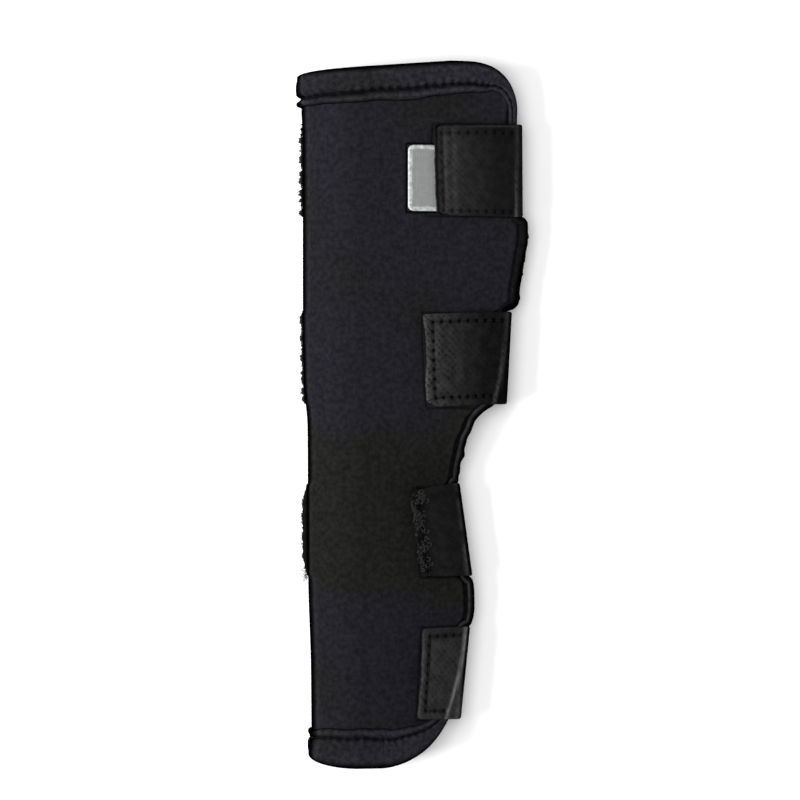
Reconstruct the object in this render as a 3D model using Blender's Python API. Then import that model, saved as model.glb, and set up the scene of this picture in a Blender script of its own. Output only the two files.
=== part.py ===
"""A closed, wrap-around wrist splint, lying on its back panel.

One neoprene sheet is folded at a spine on the left, so that its two free edges meet on the right, with a
relief cut at the wrist. Four hook-and-loop straps are sewn across the back, turn round the free edges and
press onto the front. A spring-steel stay lies in a pocket on each inner face. Metres, +Z up, +Y towards the
wide end.
"""

import math

import bmesh
import bpy
from mathutils import Vector

MM = 0.001

# Driving dimensions
NEOPRENE = 3.0 * MM
GAP = 0.3 * MM  # clearance that neighbouring pieces keep
FEET = 2.5 * MM  # how far the bands and the wide cuff stand below the back panel
EDGE_HEIGHT = 9.6 * MM  # from the back panel's outer face to the front panel's, where they meet
CAMBER = 1.5 * MM  # bulge of the front panel between the spine and the free edge
SPINE_RADIUS = (12.5 * MM, 15.5 * MM)  # at the narrow end, at the wide end
HALF_LENGTH = 118.2 * MM  # of the panel, without its cuffs
ROW_SPREAD = 6

# The plan outline, as (y, x) of smooth curves, in millimetres
SPINE_LINE = ((-120, -33.6), (-85, -33.9), (-55, -34.8), (-5, -35.0), (10, -36.1), (40, -36.6), (120, -36.6))
FREE_EDGE = (
    (-120, 12.6),
    (-104, 13.6),
    (-71.5, 16.8),
    (-67, 20.0),
    (-60, 20.4),
    (-55.5, 17.9),
    (-39, 15.4),
    (-23, 13.8),
    (-19.5, 15.4),
    (-13, 16.8),
    (-6, 19.2),
    (-1, 21.6),
    (3, 28.8),
    (19, 30.5),
    (35.3, 31.5),
    (40, 35.2),
    (49, 36.8),
    (61, 38.4),
    (66, 35.3),
    (98, 35.0),
    (106, 35.8),
    (120, 36.0),
)
# The line along which the straps pull the two panels together
MEETING_LINE = (
    (-120, 12.6),
    (-104, 13.6),
    (-71.5, 16.8),
    (-63, 18.6),
    (-55.5, 17.9),
    (-39, 15.4),
    (-23, 13.8),
    (3, 28.8),
    (19, 30.5),
    (35.3, 31.5),
    (66, 35.3),
    (98, 35.0),
    (120, 36.0),
)

# Each end of the panel: y at the spine, y at its furthest, the share of its width over which it gets there,
# and the corner at the free edge as reach along the end, depth along y and superellipse power
WIDE_END = (114.25 * MM, 118.45 * MM, 0.71, 22.5 * MM, 24.0 * MM, 3.0)
NARROW_END = (-114.5 * MM, -118.2 * MM, 0.30, 26.0 * MM, 23.0 * MM, 2.0)

# Edge bindings and cuffs
BINDING_THICK = 0.4 * MM
BINDING_WIDTH = 3.4 * MM
CUFF_WIDTH = 12.5 * MM
CUFF_INNER_WIDTH = 7.0 * MM
CUFF_EDGE = 1.5 * MM
CUFF_GAP = 0.5 * MM
WIDE_CUFF_THICK = 2.0 * MM
NARROW_CUFF_THICK = 1.0 * MM
CUFF_INNER_THICK = 1.0 * MM
# The cuff's outer side from its sewn edge to the panel's end, as shares of its width and thickness:
# a narrow ridge, the groove its stitches lie in and the broad roll
CUFF_SHAPE = ((1.0, 0.3), (0.95, 0.78), (0.80, 0.80), (0.74, 0.42), (0.67, 0.85), (0.38, 1.0), (0.08, 0.85))

# Straps. Each has its centre y, the x of its fold's outer face at its low and high edges, the x of the
# tab's end at its low and high edges, and how far its band goes past the spine (negative: stops short)
STRAP_WIDTH = 31.0 * MM
STRAP_THICK = 1.5 * MM
STRAPS = (
    (82.5 * MM, 37.8 * MM, 37.6 * MM, 8.6 * MM, 8.0 * MM, 3.0 * MM),
    (19.0 * MM, 32.4 * MM, 34.1 * MM, 4.0 * MM, 4.0 * MM, 3.0 * MM),
    (-39.2 * MM, 20.7 * MM, 16.4 * MM, 2.8 * MM, 0.0 * MM, 3.0 * MM),
    (-87.8 * MM, 16.8 * MM, 19.9 * MM, 2.5 * MM, 3.2 * MM, -26.0 * MM),
)
TAB_CORNER = 2.0 * MM
TURN_RADIUS = 0.8 * MM
PIVOT_HEIGHT = 7.4 * MM
BAND_STEP = 8.0 * MM  # from the free edge to where the band thins to pass over the binding
SPINE_BAND_LIFT = 1.1 * MM  # outer face of a band's thinned end, above the panel
HOOK_THICK = 0.8 * MM
HOOK_INSET = 3.0 * MM
HOOK_EDGE = 6.0 * MM  # from the free edge to the hook patch

# Reflective label, partly under the first tab
LABEL_LEFT = -1.5 * MM
LABEL_RIGHT = 10.0 * MM
LABEL_LOW = 68.4 * MM
LABEL_HIGH = 90.4 * MM
LABEL_THICK = 0.5 * MM
LABEL_CORNER = 1.7 * MM

# Stays, their moulded tips and the pockets that hold them
STAY_X = -13.0 * MM
STAY_WIDTH = 8.0 * MM
STAY_THICK = 0.8 * MM
STAY_HALF_LENGTH = 92.0 * MM
TIP_WALL = 0.4 * MM
TIP_LENGTH = 9.0 * MM
LINING_GAP = 0.5 * MM  # from the panel's inner face to the pocket's edges and the tips
POCKET_THICK = 0.6 * MM
POCKET_WIDTH = 18.0 * MM
POCKET_HALF_LENGTH = 102.0 * MM
POCKET_SEAM = 2.0 * MM
POCKET_SLOPE = 2.0 * MM

# Faces of the straps and of the stay's layers, as lifts above the panel's outer face
BAND_UNDER = FEET
OVER_BINDING = GAP + BINDING_THICK + GAP
TAB_INNER = GAP + HOOK_THICK + GAP
TAB_OUTER = TAB_INNER + STRAP_THICK
STAY_FACE = -(NEOPRENE + LINING_GAP + TIP_WALL + GAP)
POCKET_FACE = STAY_FACE - STAY_THICK - GAP - TIP_WALL - GAP
POCKET_EDGE = -(NEOPRENE + LINING_GAP)

COLOURS = {
    "neoprene": ((0.018, 0.018, 0.023), 0.85, 0.0),
    "binding": ((0.009, 0.009, 0.010), 0.80, 0.0),
    "webbing": ((0.012, 0.012, 0.012), 0.70, 0.0),
    "hook": ((0.010, 0.010, 0.010), 0.60, 0.0),
    "label": ((0.29, 0.30, 0.30), 0.35, 0.2),
    "spring_steel": ((0.42, 0.43, 0.45), 0.30, 1.0),
    "tip_plastic": ((0.60, 0.60, 0.58), 0.45, 0.0),
    "lining": ((0.022, 0.022, 0.026), 0.90, 0.0),
}


def evenly(start, stop, steps):
    return [start + (stop - start) * i / steps for i in range(steps + 1)]


def smooth_through(points, at):
    """Value at `at` of a smooth curve through (position, value) points, both in millimetres."""
    position = at / MM
    places = [p for p, _ in points]
    values = [v for _, v in points]
    last = len(points) - 1
    i = max(0, min(last - 1, sum(p <= position for p in places) - 1))

    def slope(k):
        rises = [(values[n + 1] - values[n]) / (places[n + 1] - places[n]) for n in (k - 1, k) if 0 <= n < last]
        before, after = rises[0], rises[-1]
        # The harmonic mean keeps the curve from swinging past its points.
        return 2 * before * after / (before + after) if before * after > 0 else 0.0

    step = places[i + 1] - places[i]
    t = max(0.0, min(1.0, (position - places[i]) / step))
    rise = values[i + 1] - values[i]
    first, second = slope(i) * step, slope(i + 1) * step
    cubic = t * first + t * t * (3 * rise - 2 * first - second) + t**3 * (first + second - 2 * rise)
    return (values[i] + cubic) * MM


class Section:
    """The closed sleeve's outline at one y: a flat underside, a round spine and a sloping front."""

    def __init__(self, y):
        narrow, wide = SPINE_RADIUS
        share = max(0.0, min(1.0, (y + HALF_LENGTH) / (2 * HALF_LENGTH)))
        self.radius = narrow + (wide - narrow) * share
        self.left = smooth_through(SPINE_LINE, y)
        self.right = smooth_through(FREE_EDGE, y)
        self.meet = smooth_through(MEETING_LINE, y)
        self.centre_x = self.left + self.radius
        self.centre_z = FEET + self.radius
        across = self.meet - self.centre_x
        up = FEET + EDGE_HEIGHT - self.centre_z
        # The front's straight part touches the spine's circle and comes down to where the panels meet.
        self.slope = math.atan2(across, up) - math.acos(self.radius / math.hypot(across, up))
        self.arc = self.radius * (math.pi / 2 + self.slope)
        self.run = math.sqrt(across**2 + up**2 - self.radius**2)
        self.front = self.arc + self.run - (self.meet - self.right) / math.cos(self.slope)
        self.back_arc = self.radius * math.pi / 2
        self.back = self.back_arc + self.right - self.centre_x

    def point(self, along, lift):
        """(x, z) at `along` round the outer face from the spine, over the front if positive and under the
        back if negative, moved out by `lift`."""
        if -self.back_arc <= along <= self.arc:
            angle = math.pi - along / self.radius
            reach = self.radius + lift
            return self.centre_x + reach * math.cos(angle), self.centre_z + reach * math.sin(angle)
        if along < 0:
            return self.centre_x - along - self.back_arc, FEET - lift
        run = along - self.arc
        share = run / self.run
        out = self.radius + lift + CAMBER * 4 * share * (1 - share)
        x = self.centre_x + out * math.sin(self.slope) + run * math.cos(self.slope)
        return x, self.centre_z + out * math.cos(self.slope) - run * math.sin(self.slope)

    def along_front(self, x, lift=0.0):
        """Where a face `lift` above the front panel has this x."""
        return self.arc + self.run - (self.meet + lift * math.sin(self.slope) - x) / math.cos(self.slope)

    def along_back(self, x):
        return -self.back_arc - (x - self.centre_x)


def surface(along, y, lift=0.0):
    x, z = Section(y).point(along, lift)
    return Vector((x, y, z))


def end_y(end, share):
    """y of the panel's end at a share from 0, the spine, to 1, the free edge."""
    at_spine, furthest, base, reach, depth, power = end
    section = Section(furthest)
    level = at_spine + (furthest - at_spine) * min(1.0, share / base)
    into = max(0.0, 1 - (1 - share) * section.front / reach)
    drop = depth * (1 - (1 - into**power) ** (1 / power))
    return level - math.copysign(drop, furthest)


def panel_columns():
    """Shares of the way from the spine to a free edge (the back's are negative), close together round the
    spine and the corners."""
    front = [i * 0.06 for i in range(7)] + [0.47, 0.58, 0.69, 0.79, 0.86, 0.91, 0.95, 0.98, 1.0]
    return [-share for share in reversed(front[1:])] + front


def flat_point(column, y):
    """A panel column's place as (distance round the section, y)."""
    section = Section(y)
    half = section.front if column >= 0 else section.back
    return Vector((column * half, y))


def material(slot):
    found = bpy.data.materials.get(slot)
    if found:
        return found
    colour, roughness, metallic = COLOURS[slot]
    made = bpy.data.materials.new(slot)
    made.use_nodes = True
    shader = made.node_tree.nodes["Principled BSDF"]
    shader.inputs["Base Color"].default_value = (*colour, 1.0)
    shader.inputs["Roughness"].default_value = roughness
    shader.inputs["Metallic"].default_value = metallic
    return made


def add_object(name, bm, slot, collection):
    bmesh.ops.recalc_face_normals(bm, faces=bm.faces)
    mesh = bpy.data.meshes.new(name)
    bm.to_mesh(mesh)
    bm.free()
    obj = bpy.data.objects.new(name, mesh)
    mesh.materials.append(material(slot))
    collection.objects.link(obj)
    return obj


def skin(bm, grid):
    for low, high in zip(grid, grid[1:]):
        for k in range(len(low) - 1):
            bm.faces.new((low[k], low[k + 1], high[k + 1], high[k]))


def slab(name, inner_rows, outer_rows, slot, collection=None):
    """A closed body lofted between an inner and an outer face, each given as rows of points."""
    bm = bmesh.new()
    inner = [[bm.verts.new(p) for p in row] for row in inner_rows]
    outer = [[bm.verts.new(p) for p in row] for row in outer_rows]
    skin(bm, inner)
    skin(bm, outer)
    for k in (0, -1):
        skin(bm, [inner[k], outer[k]])
        skin(bm, [[row[k] for row in inner], [row[k] for row in outer]])
    return add_object(name, bm, slot, collection or parts)


def layer(name, rows, face, thickness, slot, collection=None):
    """A slab that follows the panel. Each row is a list of (distance round the section, y)."""
    near = [[surface(along, y, face) for along, y in row] for row in rows]
    far = [[surface(along, y, face + thickness) for along, y in row] for row in rows]
    return slab(name, near, far, slot, collection)


def edge_rows():
    """Heights along the free edge, through the points that shape it and no more than 9 mm apart."""
    low, high = end_y(NARROW_END, 1.0), end_y(WIDE_END, 1.0)
    marks = [low] + [y * MM for y, _ in FREE_EDGE if low + 3 * MM < y * MM < high - 3 * MM] + [high]
    heights = [low]
    for start, stop in zip(marks, marks[1:]):
        heights += evenly(start, stop, math.ceil((stop - start) / (9 * MM)))[1:]
    return heights


def build_sleeve():
    rows = []
    edge = edge_rows()
    for y in edge:
        end, edge_end = (WIDE_END, edge[-1]) if y > 0 else (NARROW_END, edge[0])
        # The rows spread out towards each end, to follow its rounded corner.
        share = (y / edge_end) ** ROW_SPREAD
        rows.append([flat_point(c, y + (end_y(end, abs(c)) - edge_end) * share) for c in panel_columns()])
    layer("sleeve", rows, 0.0, -NEOPRENE, "neoprene")


def fold_over_edge(name, path, profiles, slot):
    """A strip folded over the panel's edge. `path` runs round the flat panel with the panel on its left;
    each profile lists pairs of (distance in from the edge, lift) for the inner and outer faces."""
    inner_rows, outer_rows = [], []
    for i, here in enumerate(path):
        ahead = path[min(i + 1, len(path) - 1)] - path[max(i - 1, 0)]
        inward = Vector((-ahead.y, ahead.x)).normalized()
        faces = []
        for side in (0, 1):
            flat = [(here + inward * pair[side][0], pair[side][1]) for pair in profiles[i]]
            faces.append([surface(place.x, place.y, lift) for place, lift in flat])
        inner_rows.append(faces[0])
        outer_rows.append(faces[1])
    slab(name, inner_rows, outer_rows, slot)


def cuff_profile(column, thick):
    narrowing = max(0.0, min(1.0, (abs(column) - 0.60) / 0.35))
    plain = narrowing * narrowing * (3 - 2 * narrowing)
    width = CUFF_WIDTH + (BINDING_WIDTH - CUFF_WIDTH) * plain
    inner_width = CUFF_INNER_WIDTH + (BINDING_WIDTH - CUFF_INNER_WIDTH) * plain
    outside = thick + (BINDING_THICK - thick) * plain
    inside = CUFF_INNER_THICK + (BINDING_THICK - CUFF_INNER_THICK) * plain
    edge = CUFF_EDGE + (BINDING_THICK - CUFF_EDGE) * plain
    gap = CUFF_GAP + (GAP - CUFF_GAP) * plain
    under = -NEOPRENE - gap
    pairs = [((width * d, gap), (width * d, gap + outside * h)) for d, h in CUFF_SHAPE]
    pairs.append(((-CUFF_GAP, gap), (-CUFF_GAP - 0.7 * edge, gap + 0.3 * outside)))
    pairs.append(((-CUFF_GAP, under), (-CUFF_GAP - 0.7 * edge, under - 0.3 * inside)))
    pairs.append(((0.2 * inner_width, under), (0.2 * inner_width, under - inside)))
    pairs.append(((inner_width, under), (inner_width, under - 0.6 * inside)))
    return pairs


def build_cuffs():
    columns = panel_columns()
    ends = (
        ("top_cuff", WIDE_END, WIDE_CUFF_THICK, columns[::-1]),
        ("bottom_cuff", NARROW_END, NARROW_CUFF_THICK, columns),
    )
    for name, end, thick, order in ends:
        path = [flat_point(column, end_y(end, abs(column))) for column in order]
        fold_over_edge(name, path, [cuff_profile(column, thick) for column in order], "neoprene")


def build_bindings():
    edge = edge_rows()
    heights = [edge[0] + 3 * GAP] + edge[1:-1] + [edge[-1] - 3 * GAP]
    front = [flat_point(1.0, y) for y in heights]
    back = [flat_point(-1.0, y) for y in reversed(heights)]
    under, out = -NEOPRENE - GAP, GAP + BINDING_THICK
    pairs = [
        ((BINDING_WIDTH, GAP), (BINDING_WIDTH, out)),
        ((-GAP, GAP), (-out, out)),
        ((-GAP, under), (-out, under - BINDING_THICK)),
        ((BINDING_WIDTH, under), (BINDING_WIDTH, under - BINDING_THICK)),
    ]
    for name, path in (("front_edge_binding", front), ("back_edge_binding", back)):
        fold_over_edge(name, path, [pairs] * len(path), "binding")


class Fold:
    """The section at one y of a strap's turn round the free edges."""

    def __init__(self, strap, y):
        centre_y, low_x, high_x = strap[:3]
        share = (y - centre_y) / STRAP_WIDTH + 0.5
        self.y = y
        self.section = Section(y)
        self.outer_x = low_x + (high_x - low_x) * share
        self.inner_x = self.outer_x - STRAP_THICK
        self.low_centre = (self.inner_x - TURN_RADIUS, FEET - OVER_BINDING + TURN_RADIUS)
        # The upper turn touches the fold's side and the tab's inner face.
        slope = self.section.slope
        edge_x, edge_z = self.section.meet, FEET + EDGE_HEIGHT
        face = edge_x * math.sin(slope) + edge_z * math.cos(slope) + TAB_INNER
        x = self.inner_x - TURN_RADIUS
        self.high_centre = (x, (face - TURN_RADIUS - x * math.sin(slope)) / math.cos(slope))

    def arc(self, centre, start, stop, steps=4):
        """Pairs of inner and outer points round a turn, between two angles in radians."""
        pairs = []
        for angle in evenly(start, stop, steps):
            pair = []
            for reach in (TURN_RADIUS, TURN_RADIUS + STRAP_THICK):
                x, z = centre[0] + reach * math.cos(angle), centre[1] + reach * math.sin(angle)
                pair.append(Vector((x, self.y, z)))
            pairs.append(pair)
        return pairs

    def side(self, z):
        return [[Vector((self.inner_x, self.y, z)), Vector((self.outer_x, self.y, z))]]

    def on_panel(self, along, inner_lift, outer_lift):
        return [surface(along, self.y, inner_lift), surface(along, self.y, outer_lift)]


def band_pairs(strap, y):
    """From the band's sewn end at the spine, along the back and half way up the fold."""
    fold = Fold(strap, y)
    section = fold.section
    past_spine = strap[5]
    pairs = []
    if past_spine > 0:
        for along in evenly(past_spine, -section.back_arc, 8):
            thinning = min(1.0, 1 + along / section.back_arc)
            pairs.append(fold.on_panel(along, GAP, BAND_UNDER + (SPINE_BAND_LIFT - BAND_UNDER) * thinning))
    else:
        pairs.append(fold.on_panel(past_spine, GAP, BAND_UNDER))
    step = section.along_back(section.right - BAND_STEP)
    pairs.append(fold.on_panel(step, GAP, BAND_UNDER))
    pairs.append(fold.on_panel(step - 1 * MM, OVER_BINDING, BAND_UNDER))
    pairs += fold.arc(fold.low_centre, -math.pi / 2, 0.0)
    return pairs + fold.side(PIVOT_HEIGHT - GAP / 2)


def tab_end_x(strap, y, inset=0.0):
    """x of the tab's end at one y, with its corners rounded."""
    centre_y, low_x, high_x = strap[0], strap[3], strap[4]
    half = STRAP_WIDTH / 2 - inset
    share = (y - centre_y) / STRAP_WIDTH + 0.5
    into = max(0.0, abs(y - centre_y) - (half - TAB_CORNER))
    corner = TAB_CORNER - math.sqrt(max(0.0, TAB_CORNER**2 - into**2))
    return low_x + (high_x - low_x) * share + inset + corner


def rows_with_corners(centre, half, corner):
    """Heights across a strap, close together where its corners are rounded."""
    rounded = [half - corner * (1 - math.sin(angle)) for angle in evenly(0.0, math.pi / 2, 3)]
    return [centre - h for h in reversed(rounded)] + [centre] + [centre + h for h in rounded]


def tab_pairs(strap, y):
    """From half way up the fold, round its top and over the front to the tab's end."""
    fold = Fold(strap, y)
    section = fold.section
    pairs = fold.side(PIVOT_HEIGHT + GAP / 2)
    pairs += fold.arc(fold.high_centre, 0.0, math.pi / 2 - section.slope)
    end = section.along_front(tab_end_x(strap, y), TAB_OUTER)
    for along in evenly(section.front - 5 * MM, end, 4):
        pairs.append(fold.on_panel(along, TAB_INNER, TAB_OUTER))
    return pairs


def fold_pivot(strap):
    """The middle of the tab's hinge line, which runs up the fold's outer face."""
    return Vector(((strap[1] + strap[2]) / 2, strap[0], PIVOT_HEIGHT))


def move_origin(obj, point):
    for vertex in obj.data.vertices:
        vertex.co -= point
    obj.location = point


def strap_body(name, strap, pairs_at, heights):
    rows = [list(zip(*pairs_at(strap, y))) for y in heights]
    return slab(name, [row[0] for row in rows], [row[1] for row in rows], "webbing")


def build_straps():
    for number, strap in enumerate(STRAPS, 1):
        centre_y, half = strap[0], STRAP_WIDTH / 2
        strap_body(f"strap_{number}_band", strap, band_pairs, evenly(centre_y - half, centre_y + half, 4))
        tab = strap_body(f"strap_{number}_tab", strap, tab_pairs, rows_with_corners(centre_y, half, TAB_CORNER))
        rows = []
        for y in rows_with_corners(centre_y, half - HOOK_INSET, TAB_CORNER):
            section = Section(y)
            end = section.along_front(tab_end_x(strap, y, HOOK_INSET), HOOK_THICK)
            rows.append([(along, y) for along in evenly(section.front - HOOK_EDGE, end, 2)])
        hook = layer(f"hook_patch_{number}", rows, GAP, HOOK_THICK, "hook")
        for moving in (tab, hook):
            move_origin(moving, fold_pivot(strap))


def build_label():
    centre, half = (LABEL_LOW + LABEL_HIGH) / 2, (LABEL_HIGH - LABEL_LOW) / 2
    rows = []
    for y in rows_with_corners(centre, half, LABEL_CORNER):
        into = max(0.0, abs(y - centre) - (half - LABEL_CORNER))
        corner = LABEL_CORNER - math.sqrt(max(0.0, LABEL_CORNER**2 - into**2))
        section = Section(y)
        ends = (section.along_front(LABEL_LEFT + corner), section.along_front(LABEL_RIGHT))
        rows.append([(along, y) for along in evenly(*ends, 3)])
    layer("reflective_label", rows, GAP, LABEL_THICK, "label")


def inner_rows(side, low, high, steps, offsets):
    """Rows for a strip on the inner face: `side` is 1 for the front and -1 for the back."""
    rows = []
    for y in evenly(low, high, steps):
        section = Section(y)
        centre = section.along_front(STAY_X) if side > 0 else section.along_back(STAY_X)
        rows.append([(centre + offset, y) for offset in offsets])
    return rows


def build_tip(name, side, end):
    """A moulded cap over one end of a stay, with a slot the stay fills."""
    half = STAY_WIDTH / 2 + GAP
    tip_end = end * (STAY_HALF_LENGTH + GAP + TIP_WALL)
    mouth = tip_end - end * TIP_LENGTH
    body = inner_rows(side, mouth, tip_end, 4, (-half - TIP_WALL, 0.0, half + TIP_WALL))
    tip = layer(name, body, STAY_FACE + GAP + TIP_WALL, -(STAY_THICK + 2 * GAP + 2 * TIP_WALL), "tip_plastic")
    bore = inner_rows(side, mouth - end * 3 * MM, tip_end - end * TIP_WALL, 4, (-half, 0.0, half))
    cutter = layer(f"{name}_slot", bore, STAY_FACE + GAP, -(STAY_THICK + 2 * GAP), "tip_plastic", cutters)
    cutter.hide_render = True
    cutter.display_type = "WIRE"
    cut = tip.modifiers.new("slot", "BOOLEAN")
    cut.operation = "DIFFERENCE"
    cut.solver = "EXACT"
    cut.object = cutter


def build_stays():
    for side, panel in ((1, "front"), (-1, "back")):
        half = STAY_WIDTH / 2
        rows = inner_rows(side, -STAY_HALF_LENGTH, STAY_HALF_LENGTH, 16, (-half, 0.0, half))
        layer(f"{panel}_stay", rows, STAY_FACE, -STAY_THICK, "spring_steel")
        for end, place in ((1, "upper"), (-1, "lower")):
            build_tip(f"{panel}_stay_{place}_tip", side, end)
        edge = POCKET_WIDTH / 2
        foot = edge - POCKET_SEAM
        offsets = (-edge, -foot, -foot + POCKET_SLOPE, foot - POCKET_SLOPE, foot, edge)
        faces = (POCKET_EDGE, POCKET_EDGE, POCKET_FACE, POCKET_FACE, POCKET_EDGE, POCKET_EDGE)
        rows = inner_rows(side, -POCKET_HALF_LENGTH, POCKET_HALF_LENGTH, 18, offsets)
        near = [[surface(a, y, face) for (a, y), face in zip(row, faces)] for row in rows]
        far = [[surface(a, y, face - POCKET_THICK) for (a, y), face in zip(row, faces)] for row in rows]
        slab(f"{panel}_stay_pocket", near, far, "lining")


def new_collection(name):
    made = bpy.data.collections.new(name)
    bpy.context.scene.collection.children.link(made)
    return made


for old in list(bpy.data.objects):
    bpy.data.objects.remove(old)
parts = new_collection("wrist_splint")
cutters = new_collection("wrist_splint_cutters")
build_sleeve()
build_cuffs()
build_bindings()
build_straps()
build_label()
build_stays()
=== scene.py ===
"""Looks of a closed, wrap-around joint splint: a neoprene sleeve with padded cuffs, rolled edge bindings and
four hook-and-loop straps. The sleeve's section repeats the CAD's, and every soft piece is laid on it. Lengths
are in metres, except where a comment says millimetres."""

import math

import bpy
import numpy as np
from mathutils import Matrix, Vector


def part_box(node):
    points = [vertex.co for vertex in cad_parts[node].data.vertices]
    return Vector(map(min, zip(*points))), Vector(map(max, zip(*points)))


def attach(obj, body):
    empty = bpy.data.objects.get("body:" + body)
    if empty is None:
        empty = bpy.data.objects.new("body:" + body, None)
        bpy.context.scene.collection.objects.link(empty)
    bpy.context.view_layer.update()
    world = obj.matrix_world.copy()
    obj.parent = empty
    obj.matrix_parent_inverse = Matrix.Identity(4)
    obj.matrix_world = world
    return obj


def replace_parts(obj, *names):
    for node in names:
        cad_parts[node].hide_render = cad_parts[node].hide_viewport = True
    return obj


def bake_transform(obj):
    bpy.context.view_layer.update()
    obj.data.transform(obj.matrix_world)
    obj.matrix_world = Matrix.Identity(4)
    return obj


MM = 0.001

# ---- The CAD's section, repeated ----
NEOPRENE = 3.0 * MM
GAP = 0.3 * MM
FEET = 2.5 * MM
EDGE_HEIGHT = 9.6 * MM
CAMBER = 1.5 * MM
SPINE_RADIUS = (12.5 * MM, 15.5 * MM)
HALF_LENGTH = 118.2 * MM
ROW_SPREAD = 6
# Lines along the sleeve as (y, x) in millimetres
SPINE_LINE = ((-120, -33.6), (-85, -33.9), (-55, -34.8), (-5, -35.0), (10, -36.1), (40, -36.6), (120, -36.6))
FREE_EDGE = (
    (-120, 12.6), (-104, 13.6), (-73.2, 16.8), (-72.4, 17.6), (-71.6, 19.3), (-70.6, 20.0), (-66, 20.8),
    (-60, 20.7), (-56.8, 20.2), (-55.9, 19.4), (-54.6, 17.9), (-39, 15.4), (-23.9, 13.8), (-22.4, 15.2),
    (-19, 15.6), (-13, 16.7), (-8.8, 17.7), (-5.4, 19.4), (-2, 20.7), (1.4, 24.1), (3.4, 27.2),
    (5.4, 29.0), (19, 30.5), (35.1, 31.5), (36.4, 34.6), (38, 35.9), (42, 36.2), (48.8, 37.3),
    (55.6, 38.4), (59, 39.0), (64.5, 39.0), (66.1, 38.0), (67.3, 35.3), (98, 35.0), (106, 35.8),
    (120, 36.0),
)
MEETING_LINE = (
    (-120, 12.6), (-104, 13.6), (-71.5, 16.8), (-63, 18.6), (-55.5, 17.9), (-39, 15.4), (-23, 13.8),
    (3, 28.8), (19, 30.5), (35.3, 31.5), (66, 35.3), (98, 35.0), (120, 36.0),
)
# Ends: y at the spine and at the furthest, share of the way round where it is reached, reach and depth of
# the corner, its roundness, and how quickly the end falls away from the spine
WIDE_END = (113.25 * MM, 117.95 * MM, 0.71, 22.5 * MM, 24.0 * MM, 3.0, 1.0)
NARROW_END = (-114.5 * MM, -118.2 * MM, 0.42, 26.0 * MM, 23.0 * MM, 1.8, 2.0)

STRAP_WIDTH = 31.4 * MM
HALF_STRAP = STRAP_WIDTH / 2
STRAP_THICK = 1.5 * MM
TURN_RADIUS = 0.8 * MM
PIVOT_HEIGHT = 7.4 * MM
PIVOT_PLAY = 0.02 * MM  # between the band's end and the tab's
BAND_STEP = 8.0 * MM
BINDING_THICK = 0.4 * MM
OVER_BINDING = 1.0 * MM
TAB_INNER = 1.4 * MM
TAB_OUTER = TAB_INNER + STRAP_THICK
STITCH = 3.2 * MM  # from one needle hole to the next
STRAP_ROUND = 0.7 * MM  # radius of a strap's edges

# Straps: centre y, x of the fold's outer face at the low and high edge, how far the band goes past the
# spine, the crease's distance in from the fold at the low and high edge, the tab's end as (share across
# from -1 low to 1 high, x), and how far the tab's low and high edges have slipped along y at its end. The
# last three are in millimetres
STRAPS = (
    (82.5 * MM, 37.8 * MM, 37.6 * MM, 1.3 * MM, (2.2, 1.8), ((-1, 8.6), (-0.9, 8.2), (1, 7.3)), (0.4, -0.6)),
    (19.0 * MM, 32.4 * MM, 34.1 * MM, 1.3 * MM, (4.4, 1.5),
     ((-1, 7.8), (-0.93, 5.9), (-0.84, 4.6), (-0.4, 4.4), (0, 4.7), (0.5, 4.4), (1, 3.4)), (-0.9, -0.9)),
    (-39.2 * MM, 20.7 * MM, 16.4 * MM, 1.3 * MM, (1.8, 1.5),
     ((-1, 3.0), (-0.5, 1.6), (0, 0.7), (0.5, -0.5), (0.85, -1.2), (1, 0.4)), (0.0, -1.9)),
    (-87.8 * MM, 16.8 * MM, 19.9 * MM, -26.0 * MM, (5.2, 1.0),
     ((-1, 1.6), (-0.6, 2.1), (-0.2, 2.8), (0.4, 3.2), (1, 3.3)), (0.3, -0.4)),
)
# How pale each tab is at its end and at its fold, between which painted shade grows, the painted highlight on
# its crease and on its rim (painted shade where it is below 0), how pale it is along its hem (painted shade),
# the least share of the fold's tone on its silhouette (a painted dark outline), how dark it is painted as
# shade past the crease, in its needle holes and on its seams, the crease's width and the stitches' distance
# from the end in millimetres, how late the crease leaves the fold, how early the cloth darkens towards the
# fold, and how dark the high edge is painted as shade
LOOK_NAMES = ("end", "fold", "crease", "rim", "hem", "outline", "past", "holes", "seam", "width", "inset",
              "curve", "early", "high_edge")
TAB_LOOKS = tuple(dict(zip(LOOK_NAMES, values)) for values in (
    (1.50, 0.40, 3.2, -0.80, 0.6, 1.00, 0.0, 0.40, 0.12, 0.45, 2.6, 1.0, 0.62, 0.3),
    (1.65, 0.27, 1.3, 0.15, 1.0, 0.12, 0.6, 0.96, 0.12, 0.75, 3.3, 2.2, 0.50, 0.0),
    (0.85, 0.45, 4.4, 0.10, 0.7, 0.10, 0.6, 0.10, 0.12, 0.45, 3.3, 1.0, 0.62, 0.0),
    (1.27, 1.10, 4.2, 0.20, 1.0, 0.04, 0.0, 0.55, 0.55, 0.80, 2.8, 1.9, 0.62, 0.3),
))
LABEL_BOX = (68.5 * MM, 90.8 * MM, -1.5 * MM)  # low y, high y, left x


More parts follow.
